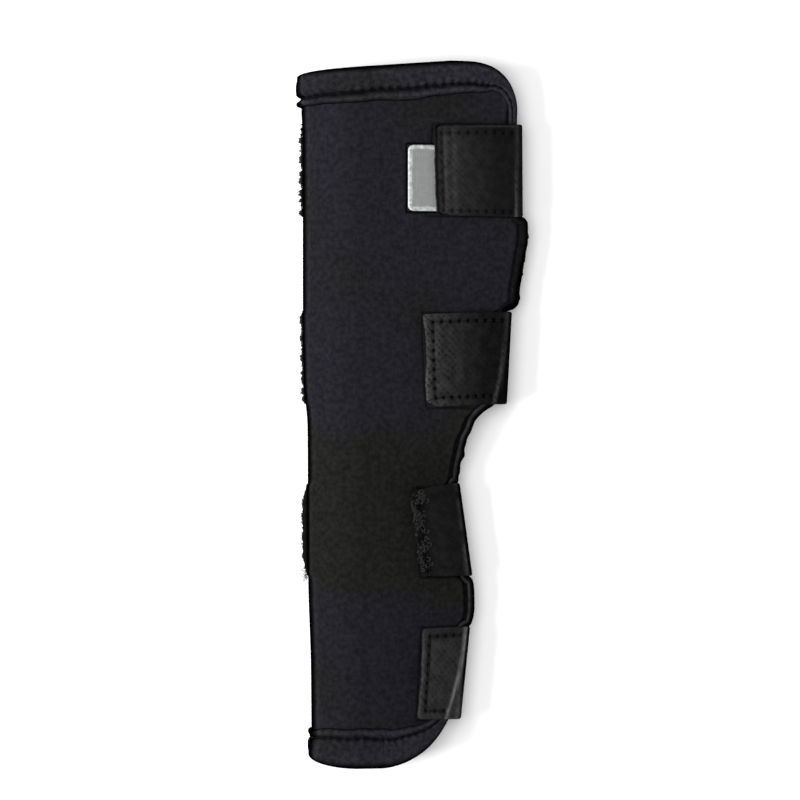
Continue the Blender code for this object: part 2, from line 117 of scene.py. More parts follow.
def curve_through(points, at):
    """Values of the smooth curve through (position, value) points in millimetres, at positions in metres."""
    places, values = np.array(points, float).T
    rises = np.diff(values) / np.diff(places)
    before, after = np.concatenate([rises[:1], rises]), np.concatenate([rises, rises[-1:]])
    same_way = before * after > 0
    slopes = np.where(same_way, 2 * before * after / np.where(same_way, before + after, 1), 0)
    at = np.asarray(at, float) / MM
    i = np.clip(np.searchsorted(places, at, side="right") - 1, 0, len(places) - 2)
    step = places[i + 1] - places[i]
    t = np.clip((at - places[i]) / step, 0, 1)
    rise = values[i + 1] - values[i]
    first, second = slopes[i] * step, slopes[i + 1] * step
    cubic = t * first + t**2 * (3 * rise - 2 * first - second) + t**3 * (first + second - 2 * rise)
    return (values[i] + cubic) * MM


class Section:
    """The sleeve's outline at each y: a flat underside, a round spine and a sloping front."""

    def __init__(self, y):
        y = np.asarray(y, float)
        share = np.clip((y + HALF_LENGTH) / (2 * HALF_LENGTH), 0, 1)
        self.radius = SPINE_RADIUS[0] + (SPINE_RADIUS[1] - SPINE_RADIUS[0]) * share
        self.left = curve_through(SPINE_LINE, y)
        self.right = curve_through(FREE_EDGE, y)
        self.meet = curve_through(MEETING_LINE, y)
        self.centre_x = self.left + self.radius
        self.centre_z = FEET + self.radius
        across = self.meet - self.centre_x
        up = FEET + EDGE_HEIGHT - self.centre_z
        self.slope = np.arctan2(across, up) - np.arccos(self.radius / np.hypot(across, up))
        self.arc = self.radius * (math.pi / 2 + self.slope)
        self.run = np.sqrt(across**2 + up**2 - self.radius**2)
        self.front = self.arc + self.run - (self.meet - self.right) / np.cos(self.slope)
        self.back_arc = self.radius * math.pi / 2
        self.back = self.back_arc + self.right - self.centre_x

    def along_front(self, x, lift=0.0):
        """How far round a point of the front is that has this x and this height above the face."""
        return self.arc + self.run - (self.meet + lift * np.sin(self.slope) - x) / np.cos(self.slope)

    def along_back(self, x):
        return -self.back_arc - (x - self.centre_x)


def surface(along, y, lift):
    """Points at `along` round the outer face from the spine (negative: under the back), `lift` above it."""
    along, y, lift = np.broadcast_arrays(along, y, lift)
    s = Section(y)
    angle = math.pi - along / s.radius
    reach = s.radius + lift
    run = along - s.arc
    share = run / s.run
    out = reach + CAMBER * 4 * share * (1 - share)
    round_x, round_z = s.centre_x + reach * np.cos(angle), s.centre_z + reach * np.sin(angle)
    front_x = s.centre_x + out * np.sin(s.slope) + run * np.cos(s.slope)
    front_z = s.centre_z + out * np.cos(s.slope) - run * np.sin(s.slope)
    back_x, back_z = s.centre_x - along - s.back_arc, FEET - lift
    on_front, on_back = along > s.arc, along < -s.back_arc
    x = np.where(on_front, front_x, np.where(on_back, back_x, round_x))
    z = np.where(on_front, front_z, np.where(on_back, back_z, round_z))
    return np.stack([x, y, z], axis=-1)


def end_y(end, share):
    """Where the panel ends, at a share of the way from the spine to the free edge."""
    at_spine, furthest, base, reach, depth, power, ease = end
    level = at_spine + (furthest - at_spine) * (1 - (1 - np.minimum(1.0, share / base)) ** ease)
    into = np.maximum(0.0, 1 - (1 - share) * Section(furthest).front / reach)
    drop = depth * (1 - (1 - into**power) ** (1 / power))
    return level - math.copysign(1, furthest) * drop


def flat_point(column, y):
    """How far round the section a share of the way from the spine to the free edge is."""
    s = Section(y)
    return column * np.where(column >= 0, s.front, s.back)


def stacked(*coordinates):
    """One array of points from coordinates that broadcast together."""
    return np.stack(np.broadcast_arrays(*coordinates), -1)


def unit(value):
    return np.clip(value, 0, 1)


def eased(share):
    """A share from 0 to 1 that leaves both ends gently."""
    return share * share * (3 - 2 * share)


def towards(vectors):
    return vectors / np.linalg.norm(vectors, axis=-1, keepdims=True)


def bell(distance, width):
    return np.exp(-((distance / width) ** 2))


def hump(distance, at, width):
    """A bell round a place, which is given in millimetres, as the width is."""
    return bell(distance - at * MM, width * MM)


def fade(value, start, width):
    """0 up to the start and 1 from `width` further on, in millimetres. A width below 0 turns it round."""
    return unit((value - start * MM) / (width * MM))


def ripple(at, seed):
    """A slow irregular wave between about -1 and 1, the same on every run."""
    total = 0.0
    for k, (length, size) in enumerate(((0.031, 1.0), (0.0173, 0.7), (0.0091, 0.45))):
        total = total + size * np.sin(2 * math.pi * at / length + seed * (k + 1.7))
    return total / 1.6


def needle_marks(at):
    """1 at each needle hole of a seam and 0 half way between two."""
    return 0.5 + 0.5 * np.cos(2 * math.pi * at / STITCH)


def distances(x, y):
    """How far each point of a flat curve is from the first."""
    return np.concatenate([[0], np.cumsum(np.hypot(np.diff(x), np.diff(y)))])


def arched(count):
    return np.sin(np.linspace(0, math.pi, count))


# ---- Meshes ----


def mesh_piece(name, points, faces, material, attributes=None):
    mesh = bpy.data.meshes.new(name)
    mesh.from_pydata(points.tolist(), [], faces)
    for key, values in (attributes or {}).items():
        kind = "FLOAT_VECTOR" if values.ndim == 2 else "FLOAT"
        field = mesh.attributes.new(key, kind, "POINT")
        field.data.foreach_set("vector" if values.ndim == 2 else "value", values.astype(np.float32).ravel())
    mesh.materials.append(material)
    mesh.shade_smooth()
    piece = bpy.data.objects.new(name, mesh)
    bpy.context.scene.collection.objects.link(piece)
    return piece


def grid_faces(rows, columns, start=0, flip=False):
    i = np.arange(rows * columns).reshape(rows, columns) + start
    quads = np.stack([i[:-1, :-1], i[:-1, 1:], i[1:, 1:], i[1:, :-1]], axis=-1).reshape(-1, 4)
    return (quads[:, ::-1] if flip else quads).tolist()


def slab(name, inner, outer, flat, material, shade, facing_out=True):
    """A closed sheet between two faces, each an array of rows of points. `flat` gives each point's place on
    the unrolled cloth, which the weaves follow, and `shade` its painted light and shade."""
    rows, columns = inner.shape[:2]
    count = rows * columns
    points = np.concatenate([inner.reshape(-1, 3), outer.reshape(-1, 3)])
    faces = grid_faces(rows, columns, 0, facing_out) + grid_faces(rows, columns, count, not facing_out)
    i = np.arange(count).reshape(rows, columns)
    ring = np.concatenate([i[0, :], i[1:, -1], i[-1, -2::-1], i[-2:0:-1, 0]])
    nxt = np.roll(ring, -1)
    rim = np.stack([ring, nxt, nxt + count, ring + count], axis=-1)
    faces += (rim if facing_out else rim[:, ::-1]).tolist()
    shade = np.ones((rows, columns)) if shade is None else shade
    flat3 = np.concatenate([flat.reshape(-1, 2), np.zeros((count, 1))], axis=1)
    under = flat3 + np.array([0.0, 0.0, 0.05])
    fields = {"flat": np.concatenate([under, flat3]), "shade": np.concatenate([shade.ravel(), shade.ravel()])}
    return mesh_piece(name, points, faces, material, fields)


def threads(name, lines, radius, material, sides=6):
    """Short lengths of thread along centre lines, an array of (thread, point, xyz), thinned at their ends."""
    lines = np.asarray(lines)
    count, steps = lines.shape[:2]
    ahead = np.gradient(lines, axis=1)
    ahead /= np.linalg.norm(ahead, axis=-1, keepdims=True) + 1e-12
    guide = np.where(np.abs(ahead[..., 2:3]) > 0.9, np.array([1.0, 0, 0]), np.array([0, 0, 1.0]))
    across = np.cross(ahead, guide)
    across /= np.linalg.norm(across, axis=-1, keepdims=True) + 1e-12
    up = np.cross(across, ahead)
    swell = np.sin(np.linspace(0.12, 0.88, steps) * math.pi)[None, :, None] ** 0.5 * radius
    rings = []
    for k in range(sides):
        angle = 2 * math.pi * k / sides
        rings.append(lines + swell * (math.cos(angle) * across + math.sin(angle) * up))
    points = np.stack(rings, axis=2).reshape(-1, 3)
    faces = []
    for n in range(count):
        base = n * steps * sides
        for j in range(steps - 1):
            for k in range(sides):
                a, b = base + j * sides + k, base + j * sides + (k + 1) % sides
                faces.append((a, b, b + sides, a + sides))
        faces.append(tuple(base + k for k in reversed(range(sides))))
        faces.append(tuple(base + (steps - 1) * sides + k for k in range(sides)))
    return mesh_piece(name, points, faces, material)


def rounding(distance, radius):
    """How full a sheet's thickness is near its edge, so that the edge is round."""
    inside = np.clip(distance / radius, 0, 1)
    return np.maximum(0.22, np.sqrt(1 - (1 - inside) ** 2))


def thinned(low, high, fullness):
    """Two faces, or two heights, drawn together towards their middle."""
    middle, half = (low + high) / 2, (high - low) / 2
    return middle - half * fullness, middle + half * fullness


def laid(name, along, y, heights, material, shade=None):
    """A sheet on the sleeve, with its inner and outer face at two heights above it."""
    inner, outer = (surface(along, y, height) for height in heights)
    return slab(name, inner, outer, stacked(along, y), material, shade)


# ---- Materials ----


class Nodes:
    """Short calls that build a material's node tree."""

    def __init__(self, name, roughness, metallic=0.0, specular=0.5):
        self.material = bpy.data.materials.new(name)
        self.material.use_nodes = True
        self.tree = self.material.node_tree
        self.shader = self.tree.nodes["Principled BSDF"]
        self.shader.inputs["Roughness"].default_value = roughness
        self.shader.inputs["Metallic"].default_value = metallic
        self.shader.inputs["Specular IOR Level"].default_value = specular

    def add(self, kind, settings=None, **inputs):
        """A new node's outputs. An input called i and a number is found by its place."""
        node = self.tree.nodes.new(kind)
        for key, value in (settings or {}).items():
            setattr(node, key, value)
        for key, value in inputs.items():
            socket = node.inputs[int(key[1:])] if key[0] == "i" and key[1:].isdigit() else node.inputs[key]
            if isinstance(value, bpy.types.NodeSocket):
                self.tree.links.new(value, socket)
            else:
                socket.default_value = value
        return node.outputs

    def math(self, operation, a, b=0.0):
        return self.add("ShaderNodeMath", {"operation": operation}, i0=a, i1=b)[0]

    def times(self, *values):
        product = values[0]
        for value in values[1:]:
            product = self.math("MULTIPLY", product, value)
        return product

    def plus(self, a, b):
        return self.math("ADD", a, b)

    def minus(self, a, b):
        return self.math("SUBTRACT", a, b)

    def scaled(self, place, stretch):
        return self.add("ShaderNodeVectorMath", {"operation": "MULTIPLY"}, i0=place, i1=stretch)[0]

    def attribute(self, name, output):
        return self.add("ShaderNodeAttribute", {"attribute_name": name})[output]

    def shade(self):
        return self.attribute("shade", "Fac")

    def flat(self, stretch=(1.0, 1.0, 1.0)):
        """Place on the unrolled cloth, in millimetres, times a stretch."""
        return self.scaled(self.attribute("flat", "Vector"), tuple(s / MM for s in stretch))

    def space(self, stretch=(1.0, 1.0, 1.0)):
        return self.scaled(self.add("ShaderNodeNewGeometry")["Position"], tuple(s / MM for s in stretch))

    def noise(self, where, scale, detail=2.0, roughness=0.5):
        sizes = {"Scale": scale, "Detail": detail, "Roughness": roughness}
        return self.add("ShaderNodeTexNoise", None, Vector=where, **sizes)[0]

    def wave(self, where, along, scale, distortion, detail=1.0):
        settings = {"wave_type": "BANDS", "bands_direction": along}
        sizes = {"Scale": scale, "Distortion": distortion, "Detail": detail}
        return self.add("ShaderNodeTexWave", settings, Vector=where, **sizes)[1]

    def ramp(self, value, low, high, to_low=0.0, to_high=1.0):
        settings = {"interpolation_type": "SMOOTHSTEP"}
        keys = {"Value": value, "From Min": low, "From Max": high, "To Min": to_low, "To Max": to_high}
        return self.add("ShaderNodeMapRange", settings, **keys)[0]

    def mix(self, share, a, b, blend="MIX"):
        a, b = ((*c, 1) if isinstance(c, tuple) else c for c in (a, b))
        return self.add("ShaderNodeMix", {"data_type": "RGBA", "blend_type": blend}, i0=share, i6=a, i7=b)[2]

    def scale_colour(self, colour, amount):
        grey = self.add("ShaderNodeCombineColor", None, Red=amount, Green=amount, Blue=amount)[0]
        return self.mix(1.0, colour, grey, "MULTIPLY")

    def outline(self, where, left, slant, low, high, strength, width):
        """1, and less in a painted shadow line round the box from `left` rightwards and from `low` to `high`.
        """
        part = self.add("ShaderNodeSeparateXYZ", None, Vector=where)
        off = self.minus(part["Y"], (low + high) / 2)
        edge = self.plus(self.times(off, slant), left)
        across = self.math("MAXIMUM", self.minus(edge, part["X"]), 0.0)
        up = self.math("MAXIMUM", self.minus(self.math("ABSOLUTE", off), (high - low) / 2), 0.0)
        distance = self.math("SQRT", self.plus(self.math("POWER", across, 2.0), self.math("POWER", up, 2.0)))
        near = self.ramp(distance, 0.0, SHADOW_LINE_START, 0.0, strength)
        return self.minus(1.0, self.times(near, self.ramp(distance, SHADOW_LINE_START, width, 1.0, 0.0)))

    def finish(self, colour, height, distance, roughness=None):
        self.tree.links.new(colour, self.shader.inputs["Base Color"])
        if roughness is not None:
            self.tree.links.new(roughness, self.shader.inputs["Roughness"])
        bump = self.add("ShaderNodeBump", None, Strength=1.0, Distance=distance, Height=height)[0]
        self.tree.links.new(bump, self.shader.inputs["Normal"])
        return self.material


SHADOW_LINE_START = 0.2  # millimetres from the box to the darkest of its painted shadow line
SHADOW_LINE_WIDTH = 1.3  # and to the line's far side
WORN_AT = 36.0  # millimetres from the origin towards the narrow end, where the sleeve has faded to neutral


def toned(colour, factor):
    return tuple(c * factor for c in colour)


def jersey(name, blue, neutral, depth=0.12, mottling=1.0, outlines=()):
    """Fine knitted face of neoprene: small mottled loops on a colour that drifts from blue-black to black,
    darkened by a painted shadow line round the boxes in `outlines` and scaled by the painted light and shade
    of the mesh."""
    n = Nodes(name, 0.93, specular=0.0)
    where = n.flat()
    knit = n.times(n.wave(where, "X", 0.66, 1.6), n.wave(where, "Y", 0.55, 1.6))
    mottle = n.noise(where, 0.58, 2.0, 0.55)
    from_worn = n.math("ABSOLUTE", n.plus(n.add("ShaderNodeSeparateXYZ", None, Vector=where)["Y"], WORN_AT))
    patchy = n.plus(n.noise(where, 0.022, 1.0, 0.4), n.ramp(from_worn, 8.0, 44.0, 0.17, -0.07))
    light = n.plus(n.ramp(mottle, 0.30, 0.72, 1 - 0.25 * mottling, 1 + 0.26 * mottling),
                   n.ramp(n.noise(where, 0.22), 0.3, 0.7, -0.08, 0.08))
    light = n.times(light, n.ramp(knit, 0.0, 1.0, 0.96, 1.03), *(n.outline(where, *box) for box in outlines))
    colour = n.scale_colour(n.mix(n.ramp(patchy, 0.40, 0.62), blue, neutral), n.times(light, n.shade()))
    height = n.plus(n.times(knit, 0.5), n.times(mottle, 0.8))
    return n.finish(colour, height, depth * MM, n.ramp(mottle, 0.3, 0.7, 0.97, 0.86))


def twill(name, dark, light, contrast):
    """Strap cloth: coarse yarn crossing on the slant, with dark pits between, scaled by the painted light and
    shade of the mesh, and both of them lost under a strong painted highlight or painted shade."""
    n = Nodes(name, 0.82, specular=0.0)
    where, shade = n.flat(), n.shade()
    rib = n.wave(where, "DIAGONAL", 0.27, 3.5)
    cross = n.wave(n.flat((1.0, -1.0, 1.0)), "DIAGONAL", 0.26, 4.5)
    pit = n.times(n.ramp(rib, 0.05, 1.0, 1.0, 0.0), n.ramp(cross, 0.05, 1.0, 1.0, 0.30),
                  n.ramp(n.noise(where, 0.30, 1.0), 0.35, 0.62, 0.35, 1.0),
                  n.ramp(shade, 1.7, 2.6, 1.0, 0.15), n.ramp(shade, 0.4, 1.3, 0.4, 1.0))
    weave = n.minus(1.0, n.times(pit, 0.95 * contrast))
    blotch = n.ramp(n.noise(where, 0.34, 2.0, 0.55), 0.30, 0.72, 1 - 0.34 * contrast, 1 + 0.30 * contrast)
    reddish = tuple(c * k for c, k in zip(dark, (1.5, 0.95, 0.9)))
    pits = n.mix(n.ramp(n.noise(where, 0.05, 1.0), 0.52, 0.70), dark, reddish)
    colour = n.scale_colour(n.mix(weave, pits, light), n.times(blotch, shade))
    height = n.plus(n.times(weave, contrast), n.times(n.noise(where, 0.5), 0.5))
    return n.finish(colour, height, 0.16 * MM, n.ramp(weave, 0.0, 1.0, 0.90, 0.74))


def yarn(name, colour):
    n = Nodes(name, 0.8, specular=0.04)
    grain = n.noise(n.space(), 3.0)
    return n.finish(n.mix(grain, toned(colour, 0.6), toned(colour, 1.5)), grain, 0.05 * MM)


def reflective(name):
    """Blank reflective patch: faint ribs across a grey film, paler at its pressed rim."""
    n = Nodes(name, 0.42, metallic=0.15)
    where = n.flat()
    ribs = n.wave(where, "X", 0.30, 0.3, 2.0)
    scuff = n.noise(where, 0.6, 4.0, 0.7)
    film = n.mix(n.ramp(scuff, 0.3, 0.7), (0.196, 0.204, 0.201), (0.212, 0.218, 0.215))
    film = n.scale_colour(film, n.ramp(ribs, 0.0, 1.0, 0.98, 1.02))
    rim = n.mix(n.ramp(scuff, 0.40, 0.62), (0.30, 0.31, 0.31), (0.52, 0.53, 0.53))
    colour = n.mix(n.ramp(n.shade(), 0.2, 0.9), rim, film)
    return n.finish(colour, n.plus(n.times(ribs, 0.3), scuff), 0.02 * MM, n.ramp(scuff, 0.3, 0.7, 0.34, 0.55))


def moulded(name, colour, roughness, specular):
    n = Nodes(name, roughness, specular=specular)
    grain = n.noise(n.space(), 1.6, 4.0, 0.6)
    rough = n.ramp(grain, 0.3, 0.7, roughness * 0.85, roughness * 1.15)
    return n.finish(n.mix(grain, toned(colour, 0.8), toned(colour, 1.15)), grain, 0.03 * MM, rough)


def brushed_steel(name):
    n = Nodes(name, 0.32, metallic=1.0)
    grain = n.noise(n.space((6.0, 0.12, 6.0)), 1.0, 3.0, 0.6)
    tone = n.mix(grain, (0.36, 0.37, 0.39), (0.52, 0.53, 0.55))
    return n.finish(tone, grain, 0.01 * MM, n.ramp(grain, 0.3, 0.7, 0.24, 0.42))


# ---- The panel ----

MAX_BILLOW = 0.7 * MM
TAPE_WIDTH = 2.4 * MM  # of the edge binding's outer side
SIM_SCALE = 20.0  # the solver is steadier at the size of a garment
SIM_ROWS, SIM_COLUMNS, SIM_FRAMES = 81, 61, 20
HELD_SHARE = 0.93  # of the way to the free edge, beyond which the binding holds the panel still
HELD_ENDS = 104 * MM  # y beyond which the cuffs do
HELD_LABEL = (64 * MM, 98 * MM, -7 * MM)  # low y, high y and left x of the stretch round the label
PANEL_ROWS = 236
CLOTH = {"vertex_group_mass": "pin", "quality": 6, "mass": 0.4, "tension_stiffness": 12,
         "compression_stiffness": 12, "bending_stiffness": 3, "air_damping": 3, "use_pressure": True,
         "uniform_pressure_force": 1.2}


def panel_grid(columns, rows):
    """Distances round the section and heights for each row and column of the panel."""
    low, high = float(end_y(NARROW_END, 1.0)), float(end_y(WIDE_END, 1.0))
    y = (low + (high - low) * rows)[:, None]
    c = columns[None, :]
    at_low = y + (end_y(NARROW_END, np.abs(c)) - low) * (y / low) ** ROW_SPREAD
    at_high = y + (end_y(WIDE_END, np.abs(c)) - high) * (y / high) ** ROW_SPREAD
    y = np.where(y < 0, at_low, at_high)
    return flat_point(c, y), y


def simulate_billow():
    """How far the panel stands out between its straps, cuffs, label and edges, from a short cloth simulation
    of its middle surface with mild pressure inside. Rows and columns are even shares of the panel."""
    columns, rows = np.linspace(-1, 1, SIM_COLUMNS), np.linspace(0, 1, SIM_ROWS)
    along, y = panel_grid(columns, rows)
    rest = surface(along, y, -NEOPRENE / 2)
    outward = towards(surface(along, y, NEOPRENE / 2) - rest)
    held = (np.abs(columns)[None, :] > HELD_SHARE) | (np.abs(y) > HELD_ENDS)
    low_y, high_y, left_x = HELD_LABEL
    held |= (y > low_y) & (y < high_y) & (along > Section(y).along_front(left_x))
    for centre, _, _, past, _, tab_end, _ in STRAPS:
        across = np.abs(y - centre) < HALF_STRAP - 1 * MM
        end = Section(y).along_front(tab_end[0][1] * MM)
        held |= across & ((along > end) | (along < min(past, 0.0)))
    sheet = mesh_piece("panel_sim", rest.reshape(-1, 3) * SIM_SCALE, grid_faces(SIM_ROWS, SIM_COLUMNS),
                       bpy.data.materials.new("sim"))
    pin = sheet.vertex_groups.new(name="pin")
    pin.add(np.flatnonzero(held.ravel()).tolist(), 1.0, "REPLACE")
    cloth = sheet.modifiers.new("cloth", "CLOTH")
    for key, value in CLOTH.items():
        setattr(cloth.settings, key, value)
    cloth.settings.effector_weights.gravity = 0
    cloth.collision_settings.use_collision = False
    scene = bpy.context.scene
    for frame_number in range(1, SIM_FRAMES + 1):
        scene.frame_set(frame_number)
    shown = sheet.evaluated_get(bpy.context.evaluated_depsgraph_get())
    moved = np.zeros(len(shown.data.vertices) * 3, np.float32)
    shown.data.vertices.foreach_get("co", moved)
    scene.frame_set(1)
    bpy.data.objects.remove(sheet)
    out = ((moved.reshape(rest.shape) / SIM_SCALE - rest) * outward).sum(-1)
    out[held] = 0
    return columns, rows, np.clip(out * MAX_BILLOW / max(float(np.abs(out).max()), 1e-9), 0, MAX_BILLOW)


def billow(columns, rows):
    """The billow at each of an array of columns and of rows, which broadcast together."""
    at_c, at_r, out = BILLOW
    columns, rows = np.broadcast_arrays(columns, rows)
    i = np.clip((columns + 1) / 2 * (len(at_c) - 1), 0, len(at_c) - 1.001)
    j = np.clip(rows * (len(at_r) - 1), 0, len(at_r) - 1.001)
    i0, j0 = i.astype(int), j.astype(int)
    s, t = eased(i - i0), eased(j - j0)
    low = out[j0, i0] * (1 - s) + out[j0, i0 + 1] * s
    high = out[j0 + 1, i0] * (1 - s) + out[j0 + 1, i0 + 1] * s
    return low * (1 - t) + high * t


def edge_distance(along, y):
    s = Section(y)
    return np.where(along >= 0, s.front - along, s.back + along)


def spine_painted_shade(along, y):
    """The fold at the spine is painted dark as shade, in a narrower band under straps 2 and 3, with a painted
    highlight line on the front beside it."""
    width = 6.2 * MM
    for number, less in ((2, 1.0 * MM), (3, 2.2 * MM)):
        width = width - less * unit((HALF_STRAP + 1 * MM - np.abs(y - STRAPS[number - 1][0])) / (2 * MM))
    return 1 - 0.95 * np.exp(-((along / width) ** 8)) + 0.45 * bell(along - width - 1.4 * MM, 1.0 * MM)


def swollen_at(y):
    """Where the binding bulges between the first two straps, and the painted shade of its groove and tape is
    lessened.
    """
    return hump(y, 45, 15)


def build_sleeve():
    half_width, close_columns = 72, 5.2  # about half the panel, and how much of it has close columns
    near_edge = np.linspace(0, close_columns, 20) / half_width
    middle = np.linspace(0, 1 - near_edge[-1], 62)
    half = np.concatenate([middle, 1 - near_edge[-2::-1]])
    columns = np.concatenate([-half[:0:-1], half])
    rows = np.linspace(0, 1, PANEL_ROWS)
    along, y = panel_grid(columns, rows)
    out = billow(columns[None, :], rows[:, None])
    from_edge = edge_distance(along, y)
    groove = bell(from_edge - (TAPE_WIDTH + 0.35 * MM), 0.50 * MM)
    hole = needle_marks(y)
    lift = out - groove * (0.45 + 0.30 * hole) * MM
    lift = lift + 0.20 * MM * bell(from_edge - TAPE_WIDTH - 1.7 * MM, 1.0 * MM)
    lift = lift + (0.25 + 0.45 * hump(y, 103, 6)) * MM * hump(along, 0, 9)
    # Painted shade in the groove beside the binding and in its needle holes, lessened where the binding
    # bulges; painted shade at the spine fold with a painted highlight beside it; and painted light growing
    # towards the front's free edge.
    shade = 1 - 0.75 * groove * (0.6 + 0.4 * hole) * (1 - 0.75 * swollen_at(y) * (along > 0))
    shade = shade * spine_painted_shade(along, y) * (0.95 + 0.20 * unit(columns)[None, :])
    # Darker towards the narrow end, and darker near the free edge by the bulge.
    shade = shade * (1 - 0.16 * fade(y, 90, -170))
    shade = shade * (1 - 0.30 * hump(y, 51, 12) * unit(1.6 - from_edge / (4 * MM)))
    sleeve = laid("sleeve_neoprene", along, y, (-NEOPRENE + out, lift), JERSEY, shade)
    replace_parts(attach(sleeve, "sleeve"), "sleeve")


# ---- Cuffs and bindings ----

LEAST_TONE = 0.04
CUFF_INNER_WIDTH = 7.0 * MM
CUFF_GAP = 0.45 * MM
GROOVE_AT = 0.68  # where the profile's stitched groove is
# The outermost width of each cuff is painted dark as shade, a painted outline where the roll turns away.
CUFF_OUTLINE = 1.32 * MM  # how much of a cuff's outermost width is dark
CUFF_STEPS = 460
BINDING_STEPS = 420
BINDING_SHORT = 0.9 * MM  # of the free edge's ends
# Share of the way round from the spine, the groove's distance from the panel's end and the ridge's width
WIDE_GROOVE = ((0, 7.2, 2.6), (0.3, 7.1, 3.2), (0.5, 6.9, 3.7), (0.68, 6.6, 3.4), (0.84, 6.3, 2.6),
               (0.90, 5.2, 2.3), (0.95, 3.0, 2.0), (1, 0.9, 1.5))
NARROW_GROOVE = ((0, 5.9, 2.6), (0.2, 8.2, 3.0), (0.42, 8.9, 3.2), (0.6, 8.6, 3.2), (0.8, 6.0, 3.0),
                 (0.9, 3.4, 2.4), (1, 0.9, 1.5))
# Height of a cuff's outer side, as shares of its width in from the end and of its thickness
CUFF_PROFILE = (
    (1.02, 0.02), (0.995, 0.30), (0.965, 0.66), (0.92, 0.86), (0.87, 0.92), (0.81, 0.86), (0.76, 0.62),
    (0.715, 0.30), (0.68, 0.14), (0.645, 0.34), (0.60, 0.64), (0.55, 0.84), (0.48, 0.95), (0.40, 1.0),
    (0.31, 1.0), (0.22, 0.98), (0.14, 0.93), (0.06, 0.84),
)
CUFF_ROLL = (78, 66, 55, 45, 34, 20, 0, -22, -45, -70)  # degrees round the end
# The inner sides: distance in, as a share of the cuff's inner width or in millimetres, and share of thickness
CUFF_INSIDE = ((0.15, 1.0), (0.40, 1.0), (0.62, 0.8), (0.72, 0.35), (0.82, 0.75), (0.95, 0.6), (1.0, 0.1))
TAPE_OUTSIDE = ((2.45, 0.06), (2.3, 0.50), (2.0, 0.75), (1.6, 0.95), (1.2, 1.05), (0.7, 1.08), (0.25, 1.0))
TAPE_INSIDE = ((0.6, 1.0), (1.8, 1.0), (2.9, 1.0), (3.6, 0.8), (3.85, 0.1))
# Where the front binding has rucked up in the notch: y, how far it stands out and half its width, in
# millimetres
NOTCH_LUMPS = ((-14.0, 0.95, 1.5), (-19.3, 0.50, 1.4), (-22.6, 0.35, 1.0), (-10.0, 0.25, 1.6))


def cuff_path(end, count):
    """Evenly spaced points of the panel's end, round the flat panel with the panel on the left, and their
    distances along it."""
    c = np.linspace(-1, 1, 4001)
    if end is WIDE_END:
        c = c[::-1]
    y = end_y(end, np.abs(c))
    x = flat_point(c, y)
    length = distances(x, y)
    at = np.linspace(0, length[-1], count)
    return np.interp(at, length, c), np.interp(at, length, x), np.interp(at, length, y), at


def inward_of(x, y):
    """The direction into the panel, which is at the left of a flat curve."""
    dx, dy = np.gradient(x), np.gradient(y)
    size = np.hypot(dx, dy)
    return -dy / size, dx / size


class Roll:
    """A sheet rolled over an edge: rows of points, each with its distance in from the edge, its height above
    the sleeve and its painted light and shade."""

    def __init__(self, x, y):
        self.x, self.y = x[:, None], y[:, None]
        self.inward = [part[:, None] for part in inward_of(x, y)]
        self.shape, self.rows = x.shape, []

    def add(self, inner, inner_lift, outer, outer_lift, tone=1.0):
        values = (inner, inner_lift, outer, outer_lift, tone)
        self.rows.append([np.broadcast_to(value, self.shape) for value in values])

    def faces(self):
        """The inner and outer face, then the outer face's distances and heights, and the tones."""
        inner, inner_lift, outer, outer_lift, tone = np.array(self.rows).transpose(1, 2, 0)
        points = []
        for inwards, lift in ((inner, inner_lift), (outer, outer_lift)):
            points.append(surface(self.x + self.inward[0] * inwards, self.y + self.inward[1] * inwards, lift))
        return (*points, outer, outer_lift, tone)


def cuff_shape(end, groove, thick):
    """The cuff's sizes at each point of its path, which narrow to the binding's round the corners."""
    c, x, y, at = cuff_path(end, CUFF_STEPS)
    places, grooves, ridges = np.array(groove).T
    plain = eased(unit((np.abs(c) - 0.80) / 0.20))

    def narrowing(cuff, binding):
        return cuff + (binding - cuff) * plain

    size = {
        "groove": np.interp(np.abs(c), places, grooves) * MM * (1 + 0.035 * ripple(at, 2.0)),
        "ridge": np.interp(np.abs(c), places, ridges) * MM * (1 + 0.05 * ripple(at * 0.8, 6.0)),
        "inner": narrowing(CUFF_INNER_WIDTH, 3.4 * MM),
        "out": narrowing(thick, 0.5 * MM) + 0.10 * MM * ripple(at, 5.0) * (1 - plain),
        "in": narrowing(1.0 * MM, BINDING_THICK),
        "edge": narrowing(1.1 * MM, 0.5 * MM),
        "gap": narrowing(CUFF_GAP, GAP),
    }
    return x, y, at, size


